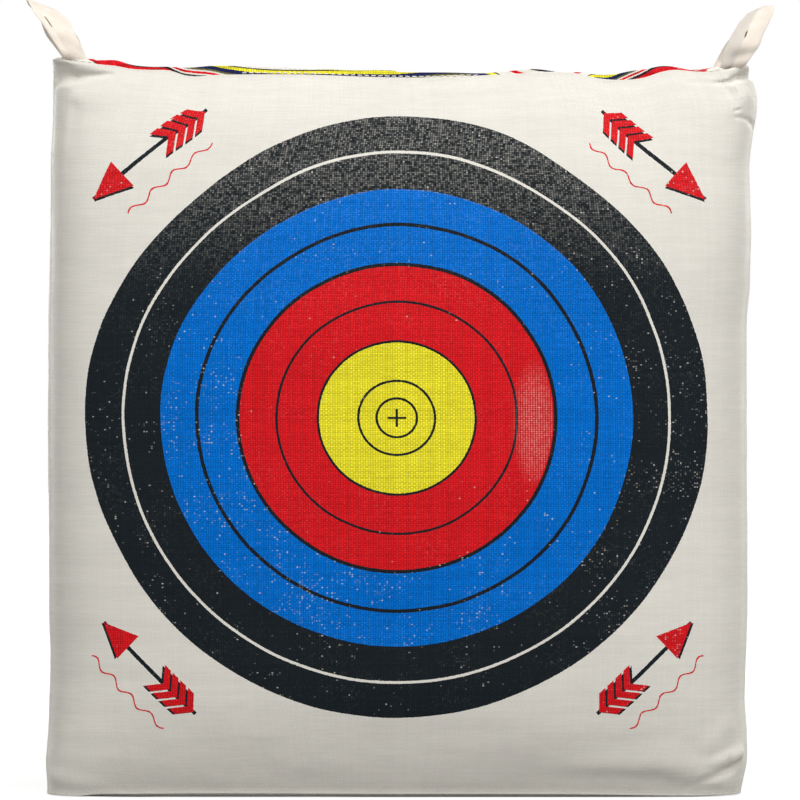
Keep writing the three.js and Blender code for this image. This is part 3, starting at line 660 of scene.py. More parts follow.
def add_rows(thread):
    """The twelve stitch rows of the cover."""
    runs = {"front": (-CORNER, CORNER), "right": (CORNER, BACK - CORNER),
            "back": (BACK - CORNER, BACK + CORNER), "left": (BACK + CORNER, GIRTH - CORNER)}
    for index, (side, (start, end)) in enumerate(runs.items()):
        arc = wrap(np.linspace(start + ROW_END, end - ROW_END, ROW_POINTS))
        shown = (arc > STITCHES_SHOW[0]) & (arc < STITCHES_SHOW[1]) | (side != "front")
        top = settle(fin_place(arc, np.where(shown, TOP_ROW, STITCHES_HIDE), TOP_ROW_MOST))
        low = settle(on_wall(arc, SOLE_SEAM + SOLE_ROW))
        low[..., 2] = np.maximum(low[..., 2], SOLE_CLEAR)
        tuck = SOLE_TUCK if side == "front" else ROW_TUCK
        for end, path in (("top", top + outward(arc) * ROW_STAND), ("bottom", low - outward(arc) * tuck)):
            name = f"{end}_{side}_stitch"
            stitches(f"{name}es", f"{name}ing", path, outward(arc), thread, 30 + index)
    seam = SIDE_SEAM - SEAM_INSET
    seams = {"front_right": seam, "rear_right": BACK - seam, "rear_left": seam - BACK, "front_left": -seam}
    for index, (side, place) in enumerate(seams.items()):
        z = np.linspace(UPRIGHT_LOW, UPRIGHT_HIGH, UPRIGHT_POINTS)
        arc = np.full_like(z, place)
        path = settle(on_wall(arc, z)) + outward(arc) * (HEM_STAND - SEAM_GROOVE + ROW_STAND)
        name = f"{side}_upright_stitch"
        stitches(f"{name}es", f"{name}ing", path, outward(arc), thread, 40 + index, radius=SEAM_THREAD)


# Carrying straps. Stations of the front leg up to the highest point: depth, then the outer and
# the inner edge as (outward, height), in millimetres. -1 is the left strap and 1 the right one.
STRAP_LEGS = {
    -1: [(-133, (347.2, 765), (322.3, 763.4)), (-133, (357.6, 782.2), (327.1, 775.5)),
         (-130, (368.8, 798.9), (332.3, 786.4)), (-122, (376.2, 807.6), (336.5, 795.6)),
         (-109, (382.3, 818.9), (342, 804.7)), (-92, (387.6, 826.3), (353, 814.4))],
    1: [(-133, (360.8, 758), (333.6, 756)), (-133, (368, 768), (335, 766)),
        (-133, (373.6, 776), (339.6, 776.6)), (-129, (377.6, 787), (345.6, 788.5)),
        (-120, (384, 799), (354, 801.6)), (-107, (389, 809.5), (362, 809.2)),
        (-92, (391.8, 817.6), (366.5, 811))],
}
WORD = {-1: "left", 1: "right"}
STRAP_TOP_SAG, STRAP_RINGS = 2.5, 190
STRAP_THICKNESS, TAIL_LEAN, TAIL_INSET, UNDER_SEAM = 2 * MM, 5.5 * MM, 2.9 * MM, TOP_SEAM - 1 * MM
TAIL_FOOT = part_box("left_front_strap_tail")[0].z
# Bow of the rear leg, ends of the slit as shares of the length, place of the butted edges
# across, depth of the lengthwise fold, size of the creases and strength of the painted shade on the inner
# half
REAR_BOW, SLIT, BUTT = {-1: 5.5, 1: 4}, {-1: (0.163, 0.222), 1: (0.168, 0.202)}, {-1: 0.4, 1: -0.06}
VEE, CRUMPLE, PAINTED_HALF_SHADE = {-1: 0.6, 1: 7}, {-1: 0.55, 1: 0.9}, {-1: 0.0, 1: 0.8}
CLOTH_LENGTH, CLOTH_HALF, TWIST, SLIT_END, FREE_FROM = 0.62, 0.019, 0.45, 0.014, 18 * MM
# A point inside each loop, which its cloth faces away from
LOOP_X, LOOP_Z = 0.30, 0.74
TAIL_COLUMNS, TAIL_ROWS, NEARBY = 9, 8, np.linspace(-5, 5, 5) * MM
# Places along the top of a loop, each with its share of the sag
STRAP_TOP = [(-45, 0.8), (0, 1), (45, 0.8)]
# Shares of a strap's run between which its lengthwise fold near each root comes and goes
ROOT_FOLDS = [((0.12, 0.16), (0.22, 0.42)), ((0.58, 0.78), (0.84, 0.88))]


def tail_edges(side, face, z):
    """Outer and inner edge of a sewn-in strap tail at a height, clear of the wall's folds."""
    lean = TAIL_LEAN * (z - TAIL_FOOT) / (TOP_SEAM - TAIL_FOOT)
    xs = lean + np.linspace(STRAP_X + STRAP_ROOT / 2, STRAP_X - STRAP_ROOT / 2, TAIL_COLUMNS)
    arc = arc_of(side * xs, face * wall_depth(xs, TOP_SEAM))
    heights = np.minimum(z + NEARBY, UNDER_SEAM)
    wall = settle(on_wall(*np.meshgrid(arc, heights), TAIL_INSET))
    outer, inner = settle(on_wall(arc[[0, -1]], z, TAIL_INSET))
    straight = between((outer[1], inner[1]), (wall[..., 0] - outer[0]) / (inner[0] - outer[0]))
    deficit = max(0, ((straight - wall[..., 1]) * face).max())
    return [point - [0, face * deficit, 0] for point in (outer, inner)]


def strap_stations(side):
    """Outer and inner edge of a whole strap, from the foot of its front tail to the rear one's."""
    leg = [[np.array([side * out, y, height]) * MM for out, height in edges]
           for y, *edges in STRAP_LEGS[side]]
    heights = np.linspace(TAIL_FOOT, UNDER_SEAM, TAIL_ROWS)
    front = [tail_edges(side, -1, z) for z in heights]
    top = []
    for y, sag in STRAP_TOP:
        drop = np.array([side * sag, y, -STRAP_TOP_SAG * sag]) * MM
        top.append([point * [1, 0, 1] + drop for point in leg[-1]])
    rear = []
    for index, pair in enumerate(leg[::-1]):
        share = index / (len(leg) - 1)
        bow = REAR_BOW[side] * (0.35 + math.sin(math.pi * min(1, share * 0.9))) * MM
        rear.append([point * [1, -1, 1] + [side * bow, 0, -bow * 0.3] for point in pair])
    tail = [tail_edges(side, 1, z) for z in heights[::-1]]
    return np.array(front + leg + top + rear + tail)


def strap_profile(butt):
    """Places across, round the edge: over the outside with its butted edges, then back inside."""
    c_out = np.concatenate([np.linspace(-1, -0.94, 4), np.linspace(-0.86, butt - 0.15, 8),
                            butt + np.array([-0.09, -0.05, -0.02, 0.02, 0.05, 0.09]),
                            np.linspace(butt + 0.15, 0.86, 8), np.linspace(0.94, 1, 4)])
    c = np.concatenate([c_out, np.linspace(1, -1, 15)[1:-1]])
    return c, np.arange(len(c)) < len(c_out)


def strap_creases(side, share, c, run, across):
    """Creases of the free part of a strap, and the fold along it near both roots."""
    fine = lattice(59 + side, run, across + 1, 0.011, 0.009)
    bend = (1.3 * lattice(50 + side, run, across + 1, 0.03, 0.02) + 0.5 * fine) * CRUMPLE[side]
    near_root = sum(ease(share, *come) * (1 - ease(share, *go)) for come, go in ROOT_FOLDS)
    vee = VEE[side] * (1 - np.sqrt(c**2 + 0.01)) * near_root
    return (bend + vee + TWIST * c) * MM


def add_strap(side, material):
    """One carrying loop with its two sewn-in tails: cloth folded to the middle, edges butted."""
    ends = strap_stations(side)
    arc = run_length(ends.mean(1))
    share = np.linspace(0, 1, STRAP_RINGS)[:, None]
    outer, inner = np.moveaxis(curve(arc, ends, share[:, 0] * arc[-1]), 1, 0)
    middle, wide = (outer + inner) / 2, (outer - inner) / 2
    thick = unit(np.cross(unit(np.gradient(middle, axis=0)), wide))
    thick *= np.sign((thick * (middle - [side * LOOP_X, 0, LOOP_Z])).sum(1).mean())
    butt, (start, end) = BUTT[side], SLIT[side]
    c, outside = strap_profile(butt)
    free = smooth((middle[:, 2:] - TOP_SEAM) / FREE_FROM)
    gape = smooth((share - start) / SLIT_END) * smooth((end - share) / SLIT_END)
    groove = np.exp(-((c - butt) / (0.03 + 0.03 * gape)) ** 2) * outside
    puff = 0.4 * np.sin(math.pi * np.abs(c - butt)) * outside - groove * (0.12 + 2.1 * gape)
    round_edge = np.sqrt(np.maximum(0, 1 - np.abs(c) ** 16)) * STRAP_THICKNESS / 2
    run, across = np.broadcast_arrays(share * CLOTH_LENGTH, c * CLOTH_HALF)
    creases = strap_creases(side, share, c, run, across)
    height = np.where(outside, 1, -1) * round_edge + (puff * MM + creases) * free
    points = middle[:, None] + wide[:, None] * c[:, None] + thick[:, None] * height[..., None]
    uv = np.stack([across.ravel(), run.ravel()], axis=-1)
    # painted shade: the inner half of the right strap's free part is darkened in colour
    painted_half_shade = PAINTED_HALF_SHADE[side] * (1 - ease(c, butt - 0.12, butt + 0.12)) * outside * free
    # the slit's value marks a painted shade in the opening between the butted edges
    strap = make_object(f"{WORD[side]}_carrying_strap", points.reshape(-1, 3),
                        tube_faces(STRAP_RINGS, len(c)), [material], {"Cloth": uv},
                        {"gap": (groove * gape).ravel(), "painted_half_shade": painted_half_shade.ravel()})
    with_normals_out(strap)
    side * STRAP_X
    side * STRAP_X
    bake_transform(strap)
    parts = ("handle_strap", "front_strap_tail", "rear_strap_tail")
    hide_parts(*(f"{WORD[side]}_{part}" for part in parts))


def with_normals_out(piece):
    bm = bmesh.new()
    bm.from_mesh(piece.data)
    bmesh.ops.recalc_face_normals(bm, faces=bm.faces)
    bm.to_mesh(piece.data)
    bm.free()


TACK_POINTS, TACK_INSET, TACK_PITCH, TACK_LENGTH, TACK_THREAD = 33, 6 * MM, 4.6 * MM, 4.5 * MM, 0.3 * MM


def add_tacks(thread):
    """A bar of dense stitches through each strap tail, under the seam."""
    for side in WORD.values():
        for face, end in ((-1, "front"), (1, "rear")):
            node = f"{side}_{end}_tail_tack"
            low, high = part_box(node)
            xs = np.linspace(low.x, high.x, TACK_POINTS)
            zag = np.where(np.arange(TACK_POINTS) % 2 == 0, low.z, high.z)
            arc = arc_of(xs, face * wall_depth(xs, TOP_SEAM - 12 * MM))
            path = settle(on_wall(arc, zag, TACK_INSET))
            stitches(f"{side}_{end}_bar_tack", node, path, -outward(arc), thread, 60, TACK_PITCH,
                     TACK_LENGTH, TACK_THREAD)


# Inside: softened copies of the sealed pieces, drawn in behind the cover
SLACK, WELD, MOST_CUTS = 5 * MM, 1e-6, 5
LINER_EDGE, PAD_EDGE, FIBRE_EDGE = 0.03, 0.024, 0.026
PAD_LUMPS, FIBRE_LUMPS, PAD_FILL, FIBRE_FILL = 1.2 * MM, 2.5 * MM, 0.9, 0.8
CLOSING_PITCH, CLOSING_LENGTH, CLOSING_THREAD, CLOSING_POINTS = 9 * MM, 6.5 * MM, 0.4 * MM, 900


def inner_piece(name, node, material, longest, lumps, seed):
    """A copy of a node's mesh, cut finer, with shallow lumps, moved as the bag settles."""
    bm = bmesh.new()
    bm.from_mesh(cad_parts[node].data)
    bmesh.ops.remove_doubles(bm, verts=bm.verts, dist=WELD)
    for _ in range(MOST_CUTS):
        edges = [edge for edge in bm.edges if edge.calc_length() > longest]
        if not edges:
            break
        bmesh.ops.subdivide_edges(bm, edges=edges, cuts=1)
        bmesh.ops.triangulate(bm, faces=[face for face in bm.faces if len(face.verts) > 3])
    bmesh.ops.recalc_face_normals(bm, faces=bm.faces)
    bm.normal_update()
    points = np.array([vert.co for vert in bm.verts])
    normals = np.array([vert.normal for vert in bm.verts])
    faces = [[vert.index for vert in face.verts] for face in bm.faces]
    bm.free()
    noise = 0.5 + 0.5 * lattice(seed, points[:, 0] + points[:, 1] * 0.7 + 2, points[:, 2] + 2, 0.03, 0.022)
    placed = settle(points - normals * (noise * lumps)[:, None], SLACK)
    piece = make_object(name, placed, faces, [material])
    on_bag(piece, node)


def add_inside(thread):
    liner = inner_look("liner_jute", linear(134, 108, 70), linear(198, 172, 128), 220.0, (1, 1, 5),
                       0.6 * MM, 0.9)
    felt = inner_look("pad_felt", linear(104, 108, 114), linear(168, 172, 176), 130.0, (3, 1, 1),
                      1.0 * MM, 0.95)
    fibre = inner_look("rammed_fibre", linear(120, 110, 96), linear(206, 198, 184), 90.0, (1, 1, 2.4),
                       2.5 * MM, 1.0)
    for seed, part in ((70, "sack"), (71, "lid")):
        inner_piece(f"liner_{part}_cloth", f"liner_{part}", liner, LINER_EDGE, 0, seed)
    for seed, side in ((72, "front"), (73, "rear")):
        inner_piece(f"{side}_pad", f"{side}_face_pad", felt, PAD_EDGE, PAD_LUMPS, seed)
    for index in range(1, 9):
        inner_piece(f"fibre_charge_{index}", f"fill_charge_{index}", fibre,
                    FIBRE_EDGE, FIBRE_LUMPS, 73 + index)
    low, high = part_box("liner_closing_thread")
    arc = wrap(np.linspace(0, GIRTH, CLOSING_POINTS))
    flat = on_wall(arc, TOP_SEAM, section(TOP_SEAM)[0] - high.x + 1.5 * MM)
    flat[..., 2] = (low.z + high.z) / 2
    down = np.zeros_like(flat) - [0, 0, 1]
    stitches("liner_closing_stitches", "liner_closing_thread", settle(flat, SLACK), down, thread, 90,
             CLOSING_PITCH, CLOSING_LENGTH, CLOSING_THREAD, 5)


# Materials
def linear(red, green, blue):
    """A colour given as it shows, from 0 to 255, as Blender's linear values."""
    def channel(value):
        value /= 255
        return value / 12.92 if value <= 0.04045 else ((value + 0.055) / 1.055) ** 2.4
    return (*(channel(value) for value in (red, green, blue)), 1.0)


class Value:
    """What a node gives out, with plain arithmetic that adds Math nodes."""

    def __init__(self, nodes, socket):
        self.nodes, self.socket = nodes, socket

    def __add__(self, other):
        return self.nodes.math("ADD", self, other)

    def __sub__(self, other):
        return self.nodes.math("SUBTRACT", self, other)

    def __rsub__(self, other):
        return self.nodes.math("SUBTRACT", other, self)

    def __mul__(self, other):
        return self.nodes.math("MULTIPLY", self, other)

    def __truediv__(self, other):
        return self.nodes.math("DIVIDE", self, other)

    def __pow__(self, other):
        return self.nodes.math("POWER", self, other)

    def __lt__(self, other):
        return self.nodes.math("LESS_THAN", self, other)

    def __gt__(self, other):
        return self.nodes.math("GREATER_THAN", self, other)

    def __abs__(self):
        return self.nodes.math("ABSOLUTE", self)

    __radd__, __rmul__ = __add__, __mul__


class Nodes:
    """The nodes of a material or the world, and short ways to add them."""

    def __init__(self, owner):
        owner.use_nodes = True
        self.tree = owner.node_tree
        self.tree.nodes.clear()

    def put(self, value, socket):
        if isinstance(value, Value):
            self.tree.links.new(value.socket, socket)
        else:
            socket.default_value = value

    def add(self, kind, *values, inputs=None, output=0, **settings):
        """Adds a node, fills its first inputs in order and others by name, and gives one output."""
        node = self.tree.nodes.new("ShaderNode" + kind)
        for key, value in settings.items():
            setattr(node, key, value)
        for value, socket in zip(values, node.inputs):
            self.put(value, socket)
        for key, value in (inputs or {}).items():
            self.put(value, node.inputs[key])
        return Value(self, node.outputs[output]) if node.outputs else None

    def math(self, operation, *values):
        return self.add("Math", *values, operation=operation)

    def seen_directly(self):
        """1 for camera, glossy and transmission rays."""
        camera, glossy, through_glass = (self.add("LightPath", output=f"Is {ray} Ray")
                                         for ray in ("Camera", "Glossy", "Transmission"))
        return self.math("MAXIMUM", self.math("MAXIMUM", camera, glossy), through_glass)


def choose(share, first, second):
    """One value or the other, or a mixture, by a share from 0 to 1."""
    return first * (1.0 - share) + second * share


class Look(Nodes):
    """A material."""

    def __init__(self, name):
        self.material = bpy.data.materials.new(name)
        super().__init__(self.material)

    def grey(self, tone):
        return self.add("CombineColor", tone, tone, tone)

    def bands(self, place, bands):
        """Plain bands of (colour, end), for a place from 0 to 1 over them all."""
        ramp = self.add("ValToRGB", place)
        scale = ramp.socket.node.color_ramp
        scale.interpolation = "CONSTANT"
        start = 0.0
        for index, (colour, end) in enumerate(bands):
            stop = scale.elements[index] if index < 2 else scale.elements.new(start)
            stop.position, stop.color = start, colour
            start = end / bands[-1][1]
        return ramp

    def mix(self, share, first, second, blend="MIX"):
        return self.add("Mix", inputs={0: share, 6: first, 7: second}, output=2,
                        data_type="RGBA", blend_type=blend)

    def spread(self, value, low, high, to_low=0.0, to_high=1.0):
        return self.add("MapRange", value, low, high, to_low, to_high, interpolation_type="SMOOTHSTEP")

    def uv(self):
        """Place on the cloth: as a vector, and its two parts."""
        vector = self.add("UVMap", uv_map="Cloth")
        return vector, self.add("SeparateXYZ", vector), self.add("SeparateXYZ", vector, output=1)

    def random(self, dimensions, **inputs):
        return self.add("TexWhiteNoise", inputs=inputs, noise_dimensions=dimensions)

    def noise(self, vector, scale, detail=2.0, stretch=(1, 1, 1)):
        place = self.add("Mapping", vector, inputs={"Scale": stretch})
        return self.add("TexNoise", inputs={"Vector": place, "Scale": scale, "Detail": detail})

    def attribute(self, name):
        return self.add("Attribute", attribute_name=name, output=2)

    def finish(self, colour, roughness, height, distance, strength=0.5, **settings):
        bump = self.add("Bump", inputs={"Strength": strength, "Distance": distance, "Height": height})
        inputs = {"Base Color": colour, "Roughness": roughness, "Normal": bump, **settings}
        self.add("OutputMaterial", self.add("BsdfPrincipled", inputs=inputs))
        return self.material


def weave(look, u, v, pitch_u, pitch_v):
    """Plain weave of flat tapes. Gives its height, 1 where the upright tape is on top, a random
    value of the tape on top, one of the crossing, and the crossing's count along u and v."""
    a, b = u / pitch_u, v / pitch_v
    whole_a, whole_b = look.math("FLOOR", a), look.math("FLOOR", b)
    turn_a, turn_b = (look.math("SINE", look.math("FRACT", place) * math.pi) for place in (a, b))
    over = look.math("PINGPONG", whole_a + whole_b, 1.0)
    height = choose(over, turn_b ** 0.45 * turn_a, turn_a ** 0.45 * turn_b)
    tape_a, tape_b = (look.random("1D", W=whole) for whole in (whole_a + 0.5, whole_b + 71.5))
    crossing = look.random("2D", Vector=look.add("CombineXYZ", whole_a, whole_b))
    return height, over, choose(over, tape_b, tape_a), crossing, (whole_a, whole_b)


COVER = linear(240, 236, 226)
YELLOW, RED, BLUE = linear(255, 243, 54), linear(232, 30, 38), linear(0, 118, 220)
BLACK, NAVY, OLIVE = linear(26, 33, 38), linear(34, 40, 88), linear(112, 108, 60)
WARP_TAPE, WEFT_TAPE = 2.56 * MM, 1.9 * MM
# Grain of the cloth, as scale, detail and stretch of a noise
STREAK, MOTTLE, DRIFT = (500.0, 2.0, (0.09, 0.9, 1)), (7.0, 4.0), (130.0, 2.0, (0.14, 1, 1))
STAIN, HAZE, WORN_PATCH, CREPE, SHEEN = (3.1, 5.0), (22.0, 3.0), (17.0, 4.0), (240.0, 2.0), (30.0, 3.0)
# Tone of bare and of inked cloth: its base, and what a tape's own tone, an upright tape on top
# and the crossing add
BARE_TONE, BARE_TAPE, BARE_OVER = 0.954, 0.042, 0.008
INK_TONE, INK_TAPE, INK_OVER, INK_CROSSING = 0.74, 0.2, 0.12, 0.1


class WovenCover(Look):
    """White cloth of woven tapes, that ink can be printed on."""

    def __init__(self, name):
        super().__init__(name)
        self.vector, self.u, self.v = self.uv()
        woven = weave(self, self.u, self.v, WARP_TAPE, WEFT_TAPE)
        self.height, self.over, self.tape, self.crossing, self.cell = woven
        tone = BARE_TONE + self.tape * BARE_TAPE + self.over * BARE_OVER
        for grain, darkest in ((STREAK, 0.962), (MOTTLE, 0.975), (DRIFT, 0.974)):
            tone = tone * self.grain(grain, 0.3, 0.7, darkest, 1.0)
        tone = tone * self.spread(self.height, 0.0, 0.45, 0.95, 1.0)
        cloth = self.mix(1.0, COVER, self.grey(tone), "MULTIPLY")
        stain = self.grain(STAIN, 0.58, 0.75, 0.0, 0.1)
        self.cloth = self.mix(stain, cloth, linear(216, 207, 188))

    def grain(self, kind, low, high, to_low, to_high):
        return self.spread(self.noise(self.vector, *kind), low, high, to_low, to_high)

    def inked(self, ink, printed, worn, rubbed=0.0, glare=0.0):
        """The cloth with ink on it: paler on the tops of the tapes, darker in the gaps, with
        flecks of bare cloth as dense as worn says, tape tops bared where it is rubbed, paler
        single crossings, and a painted highlight on the tape tops as strong as glare."""
        tone = INK_TONE + self.tape * INK_TAPE + self.over * INK_OVER + self.crossing * INK_CROSSING
        tone = tone * self.spread(self.height, 0.1, 0.65, 0.6, 1.06)
        tone = tone * self.grain(STREAK, 0.3, 0.7, 0.92, 1.06)
        ink = self.mix(1.0, ink, self.grey(tone), "MULTIPLY")
        haze = self.grain(HAZE, 0.4, 0.7, 0.004, 0.045)
        # paler single crossings from the haze, and a painted highlight on the tape tops from glare
        glint = self.crossing ** 1.4 * self.spread(self.height, 0.1, 0.7)
        bloom_and_glare = self.crossing ** 5.0 * self.height * haze + glint * glare
        bared = self.spread(self.height, 0.35, 0.9) * rubbed
        ink = self.mix(bloom_and_glare + bared, ink, COVER)
        flecks = self.random("3D", Vector=self.add("CombineXYZ", *self.cell, 7.5))
        bare = flecks > 1.0 - worn * self.grain(WORN_PATCH, 0.42, 0.68, 0.12, 1.7)
        bare = bare * self.spread(self.height, 0.35, 0.8) * (self.crossing ** 3.0 * 0.55 + 0.07)
        self.cloth = self.mix(printed * (1.0 - bare), self.cloth, ink)

    def wrinkled(self):
        bump = self.height + self.noise(self.vector, *CREPE) * 0.3
        rough = self.grain(SHEEN, 0.3, 0.7, 0.46, 0.58)
        return self.finish(self.cloth, rough, bump, 0.3 * MM, 0.32, **{"Specular IOR Level": 0.06})


# The printed face: its middle on the cloth, and where each ring ends, in millimetres
FACE_X, FACE_Z, FACE_STRETCH, FACE_SQUASH = -1 * MM, 391.2 * MM, 1.0065, 0.961
RED_EDGE, BLUE_EDGE, WHITE_LINE, LINE_HALF, FACE_EDGE, PAST_FACE = 160.8, 242.5, 282.1, 1.45, 320, 326.4
RINGS = [(YELLOW, 18.3), (BLACK, 20.6), (YELLOW, 38.2), (BLACK, 40.5), (YELLOW, 79.1), (BLACK, 82.4),
         (RED, 122.1), (BLACK, 124.7), (RED, RED_EDGE), (BLACK, 164.7), (BLUE, 204.0),
         (BLACK, 206.8), (BLUE, BLUE_EDGE), (BLACK, FACE_EDGE), (COVER, PAST_FACE)]
CROSS_REACH, CROSS_WIDTH = 9.6 * MM, 2.4 * MM
# Where the outer rings are drawn in, and noises that make their edges uneven
SIDE_DRAW, TOP_DRAW = (0.285, 0.325, 0.0, 4 * MM), (0.225, 0.32, 0.0, 4.4 * MM)
WOBBLE, WOBBLE_SIZE, JAG, JAG_SIZE = (14.0, 1.0), 2.2 * MM, (420.0, 1.0), 1 * MM
# Wear: from where, to where, and how strong at each; then the rubbed patch in the red
BLUE_WEAR, BLACK_WEAR, LEAST_WEAR = (-0.02, 0.28, 0.012, 0.17), (0.12, 0.3, 0.035, 0.13), 0.006
RUB_X, RUB_Z, RUB_WIDE, RUB_HIGH = 142 * MM, -6 * MM, 26 * MM, 74 * MM
RUB_FADE, RUB_TAPES = (0.0, 1.0, 0.3, 0.0), (0.0, 1.0, 0.5, 1.2)
BLACK_GLARE, WIDE_GLARE = (0.13, 0.3, 0.0, 0.3), (0.05, 0.2, 0.0, 0.02)


def printed_face():
    look = WovenCover("printed_cover_cloth")
    x = (look.u - FACE_X) * FACE_STRETCH
    x = x - look.math("SIGN", x) * look.spread(abs(x), *SIDE_DRAW)
    z = (look.v - FACE_Z) / FACE_SQUASH
    z = z - look.spread(z, *TOP_DRAW)
    wobble = (look.noise(look.vector, *WOBBLE) - 0.5) * WOBBLE_SIZE
    jag = (look.noise(look.vector, *JAG) - 0.5) * JAG_SIZE
    radius = look.math("SQRT", x * x + z * z) + wobble + jag
    rings = look.bands(radius / (PAST_FACE * MM), RINGS)
    bars = [(abs(one) < CROSS_WIDTH / 2) * (abs(other) < CROSS_REACH) for one, other in ((x, z), (z, x))]
    ink = look.mix(look.math("MAXIMUM", *bars), rings, BLACK)
    inside = radius < FACE_EDGE * MM
    printed = inside * (1.0 - look.math("COMPARE", radius, WHITE_LINE * MM, LINE_HALF * MM))
    marks, marked = corner_marks(look, jag)
    ink = look.mix(marked, ink, marks)
    printed = look.math("MAXIMUM", printed, marked)
    # the ink is most worn low on the left of the blue, and in the black
    low_left = look.spread(x * -1.0 - z, *BLUE_WEAR)
    in_red, in_black = radius < RED_EDGE * MM, radius > BLUE_EDGE * MM
    in_blue = look.math("COMPARE", radius, (RED_EDGE + BLUE_EDGE) / 2 * MM, (BLUE_EDGE - RED_EDGE) / 2 * MM)
    worn = in_blue * low_left + in_black * look.spread(x, *BLACK_WEAR) + LEAST_WEAR
    aside, above = (x - RUB_X) / RUB_WIDE, (z - RUB_Z) / RUB_HIGH
    rub = look.spread(aside * aside + above * above, *RUB_FADE) * look.spread(look.crossing, *RUB_TAPES)
    # painted highlight on the tops of the tapes where the face leans back
    glare = look.spread(z, *BLACK_GLARE) * (in_black * inside) + look.spread(z, *WIDE_GLARE)
    look.inked(ink, printed, worn, rub * in_red, glare)
    return look.wrinkled()


# A plain mark near each corner of the face: an arrow over a thin wavy line
MARK_REACH, MARK_SHIFT = 373 * MM, 10 * MM
ARROW_HALF, ARROW_SHAFT, HEAD_LENGTH, HEAD_SPREAD = 66 * MM, 4.2 * MM, 36 * MM, 0.46
VANE_LENGTH, VANE_HALF, VANE_PITCH, VANE_GAP, VANE_SLANT = 44 * MM, 15 * MM, 11 * MM, 0.24, 0.8
SHADE_SHIFT, SHADE_SLIP = 2.2 * MM, 0.6
RULE_DROP, RULE_HALF, RULE_WAVE, RULE_TURN, RULE_WIDTH = 35 * MM, 52 * MM, 3.2 * MM, 4.2 * MM, 1.7 * MM


def corner_marks(look, jag):
    """Four plain arrows along the corners of the face. Gives their colour and where they are."""
    rise = look.v - FACE_Z
    x, z = abs(look.u - FACE_X), abs(rise)
    slant = math.sqrt(0.5)
    along = (x - z) * slant
    up = ((x + z) * slant - MARK_REACH) * look.math("SIGN", rise) - MARK_SHIFT + jag

    def arrow(up, along):
        beside, tip = abs(up), ARROW_HALF - along
        head = (beside < tip * HEAD_SPREAD) * (tip < HEAD_LENGTH)
        tail = along + ARROW_HALF - beside * VANE_SLANT
        barbs = look.math("FRACT", tail / VANE_PITCH) > VANE_GAP
        vane = (abs(tail - VANE_LENGTH / 2) < VANE_LENGTH / 2) * (beside < VANE_HALF) * barbs
        return look.math("MAXIMUM", head, vane)

    shade = arrow(up + SHADE_SHIFT, along - SHADE_SHIFT * SHADE_SLIP)
    shaft = (abs(up) < ARROW_SHAFT / 2) * (abs(along) < ARROW_HALF)
    wave = look.math("SINE", along / RULE_TURN) * RULE_WAVE
    rule = (abs(up + RULE_DROP + wave) < RULE_WIDTH / 2) * (abs(along) < RULE_HALF)
    red = look.math("MAXIMUM", arrow(up, along), rule)
    return look.mix(red, BLACK, RED), look.math("MAXIMUM", look.math("MAXIMUM", red, shade), shaft)


# Ink bands of the border of the top: each ends so many millimetres over the walls' edge
BANDS = [(COVER, 0), (RED, 6), (BLACK, 8.8), (COVER, 10.4), (RED, 12.8), (COVER, 14), (OLIVE, 16),
         (NAVY, 20), (YELLOW, 23.2), (BLACK, 24.2), (COVER, 31), (RED, 34), (COVER, 39), (BLACK, 44),
         (YELLOW, 50), (COVER, 54), (NAVY, 56), (COVER, 80)]
BAND_SHIFT, BAND_JAG, BAND_WEAR = 20, (300.0, 1.0), 0.03


def printed_top():
    look = WovenCover("printed_top_cloth")
    jag = look.noise(look.vector, *BAND_JAG) - 0.5
    bands = [(colour, end + BAND_SHIFT) for colour, end in BANDS]
    place = (look.attribute("band") + jag + BAND_SHIFT) / bands[-1][1]
    inked = [((0, 0, 0, 1) if colour == COVER else (1, 1, 1, 1), end) for colour, end in bands]
    look.inked(look.bands(place, bands), look.bands(place, inked) > 0.5, BAND_WEAR)
    return look.wrinkled()


def strap_look():
    look = Look("strap_cotton")
    vector, u, v = look.uv()
    height = weave(look, u, v, 0.9 * MM, 0.8 * MM)[0]
    tone = look.spread(look.noise(vector, 60.0, 3.0), 0.3, 0.7, 0.0, 1.0)
    colour = look.mix(tone, linear(242, 230, 215), linear(251, 241, 228))
    colour = look.mix(look.spread(height, 0.0, 0.5, 0.25, 0.0), colour, linear(212, 198, 178))
    # painted shade on the inner half of the right strap
    colour = look.mix(look.attribute("painted_half_shade"), colour, linear(217, 209, 199))
    # painted shade in the slit between the butted edges
    colour = look.mix(look.spread(look.attribute("gap"), 0.35, 0.8), colour, linear(84, 72, 62))
    bump = height + look.noise(vector, 500.0, 2.0) * 0.5
    return look.finish(colour, 0.9, bump, 0.25 * MM, **{"Sheen Weight": 0.15})


def thread_look():
    look = Look("stitching_thread")
    _, u, v = look.uv()
    lay = look.math("SINE", u * (2 * math.pi / (1.3 * MM)) + v * (2 * math.pi))
    colour = look.mix(look.spread(lay, -1.0, 1.0), linear(226, 222, 210), linear(248, 246, 238))
    return look.finish(colour, 0.7, lay, 0.12 * MM)


def inner_look(name, dark, light, scale, stretch, bump_size, rough):
    """Rough inner stuff: mottled, with strands at one scale."""
    look = Look(name)
    place = look.add("TexCoord", output="Object")
    strands = look.noise(place, scale, 5.0, stretch)
    mixed = strands * 0.7 + look.noise(place, scale / 9, 3.0) * 0.3
    colour = look.mix(look.spread(mixed, 0.36, 0.64), dark, light)
    return look.finish(colour, rough, strands, bump_size, 0.8)


# Camera, floor and light
CAMERA_PLACE, CAMERA_LENS, CAMERA_SENSOR, CLIP_END = (2.1 * MM, -5.0, 409.5 * MM), 212.0, 36.0, 60
